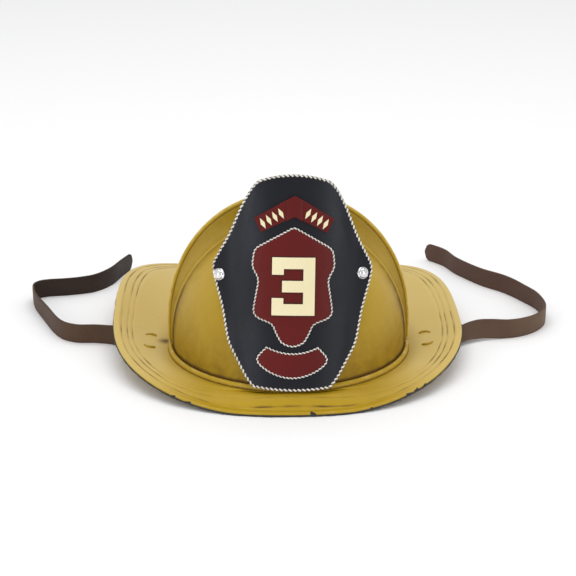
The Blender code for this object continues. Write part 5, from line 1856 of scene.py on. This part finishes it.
    def pad(self) -> None:
        """The padded leather disc under the webbing's crossing, full in its middle and flat at its seam."""
        high = self.cradle_top - self.sheet / 2 - GAP
        rim = 0.94 + 0.06 * np.sin(np.linspace(0.3, 1.57, 5))
        radius = np.concatenate([np.linspace(0.0004, 0.94, 14), rim])
        full = np.sqrt(np.maximum(1 - radius**4, 0))
        upper = np.stack([radius * self.pad_radius, high - 0.0010 * (1 - full)], 1)
        lower = np.stack([radius * self.pad_radius, high - self.pad_thick * (0.35 + 0.65 * full)], 1)
        profile = np.concatenate([upper, lower[::-1]])
        grid = lathe(Vector((*self.middle, 0)), Vector((0, 0, 1)), profile, 48)
        made = MAKER.piece("leather_crown_pad", Shape().grid(grid, True, caps=True), [SWEAT],
                           replaces=["crown_pad"], sharp=70)

    def build(self) -> None:
        """Makes all of the liner's pieces."""
        self.bands()
        for number, degrees in enumerate(self.angles, 1):
            angle = math.radians(degrees)
            self.clip(number, angle)
            self.web(number, angle)
            self.rivets(number, angle)
        self.pad()


# Studio

@dataclass
class Studio:
    """Camera, pale floor and soft lights."""

    place: Triple = (-0.03737, -1.46546, 0.57776)
    target: Triple = (-0.00047, -0.05641, 0.06473)
    lens: float = 113.1
    floor_size: float = 30.0

    def camera(self) -> None:
        """A long lens a metre and a half away, looking 20 degrees down at the front."""
        data = bpy.data.cameras.new("camera")
        data.lens, data.sensor_width = self.lens, 36.0
        data.clip_start, data.clip_end = 0.05, 60.0
        camera = bpy.data.objects.new("camera", data)
        camera.location = self.place
        way = Vector(self.target) - Vector(self.place)
        camera.rotation_euler = way.to_track_quat("-Z", "Y").to_euler()
        bpy.context.scene.collection.objects.link(camera)
        bpy.context.scene.camera = camera

    def floor(self) -> None:
        """A plain white table top."""
        half = self.floor_size / 2
        mesh = bpy.data.meshes.new("floor")
        mesh.from_pydata([(-half, -half, 0), (half, -half, 0), (half, half, 0), (-half, half, 0)], [],
                         [(0, 1, 2, 3)])
        finish = Finish("white table", 0.9, specular=0.0)
        mesh.materials.append(finish.wire((0.93, 0.93, 0.935)))
        floor = bpy.data.objects.new("floor", mesh)
        bpy.context.scene.collection.objects.link(floor)

    def light(self, name: str, place: Triple, size: tuple[float, float], power: float,
              aim: Triple = (0.0, -0.03, 0.08)) -> None:
        """A soft rectangular lamp that faces its aim.

        Args:
            name: its name.
            place: where it stands.
            size: its width and height.
            power: watts.
            aim: the point that it faces.
        """
        data = bpy.data.lights.new(name, "AREA")
        data.shape, data.size, data.size_y = "RECTANGLE", *size
        data.energy = power
        lamp = bpy.data.objects.new(name, data)
        lamp.location = place
        lamp.rotation_euler = (Vector(aim) - Vector(place)).to_track_quat("-Z", "Y").to_euler()
        bpy.context.scene.collection.objects.link(lamp)

    def build(self) -> None:
        """Makes the studio: an even white surround, a wide lamp overhead and one on each side."""
        scene = bpy.context.scene
        scene.view_settings.view_transform = "Standard"
        world = bpy.data.worlds.new("surround")
        world.use_nodes = True
        world.node_tree.nodes["Background"].inputs["Color"].default_value = (1.0, 1.0, 1.0, 1.0)
        world.node_tree.nodes["Background"].inputs["Strength"].default_value = 0.80
        scene.world = world
        self.camera()
        self.floor()
        self.light("overhead", (0.0, 0.1, 1.9), (1.8, 1.4), 13.0)
        self.light("left", (-1.15, -1.35, 0.45), (0.30, 1.0), 4.5)
        self.light("right", (1.15, -1.35, 0.45), (0.30, 1.0), 4.5)


LEFT_ROUTE = (
    (0.000, 0.000), (0.006, 0.000), (0.012, 0.003), (0.020, 0.012), (0.028, 0.024), (0.038, 0.033), (0.053,
                                                                                                     0.037),
    (0.070, 0.038), (0.084, 0.049), (0.097, 0.079), (0.110, 0.111), (0.116, 0.138), (0.113, 0.149), (0.104,
                                                                                                     0.154),
    (0.090, 0.156), (0.076, 0.159), (0.062, 0.166), (0.050, 0.183), (0.041, 0.206), (0.032, 0.228))
RIGHT_ROUTE = (
    (0.000, 0.000), (0.006, 0.000), (0.012, 0.003), (0.020, 0.012), (0.029, 0.024), (0.040, 0.033), (0.053,
                                                                                                     0.037),
    (0.066, 0.038), (0.088, 0.041), (0.106, 0.054), (0.117, 0.076), (0.116, 0.104), (0.106, 0.127), (0.092,
                                                                                                     0.153),
    (0.071, 0.175), (0.054, 0.204), (0.044, 0.229), (0.028, 0.249))
LEFT_TWIST = (0.014, 0.058)
RIGHT_TWIST = (0.034, 0.095)


def main() -> None:
    """Makes the studio, then the helmet from the straps to the liner."""
    logging.basicConfig(level=logging.INFO, format="%(name)s %(message)s", stream=sys.stdout)
    Studio().build()
    crown = Crown()
    brim = Brim(crown)
    for side, route, twist in ((Side.LEFT, LEFT_ROUTE, LEFT_TWIST), (Side.RIGHT, RIGHT_ROUTE, RIGHT_TWIST)):
        strap = ChinStrap(side, route, twist)
        reach = crown.half_width + brim.seat
        share = (abs(strap.bar[0]) - reach) / (brim.half - brim.level_edge - reach)
        strap.build(crown.foot + brim.side_rise * share**brim.curl)
    crown.build()
    brim.build()
    Shield(crown).build()
    Liner(crown).build()
    LOG.info("%d pieces", MAKER.count)


if __name__ == "__main__":
    main()
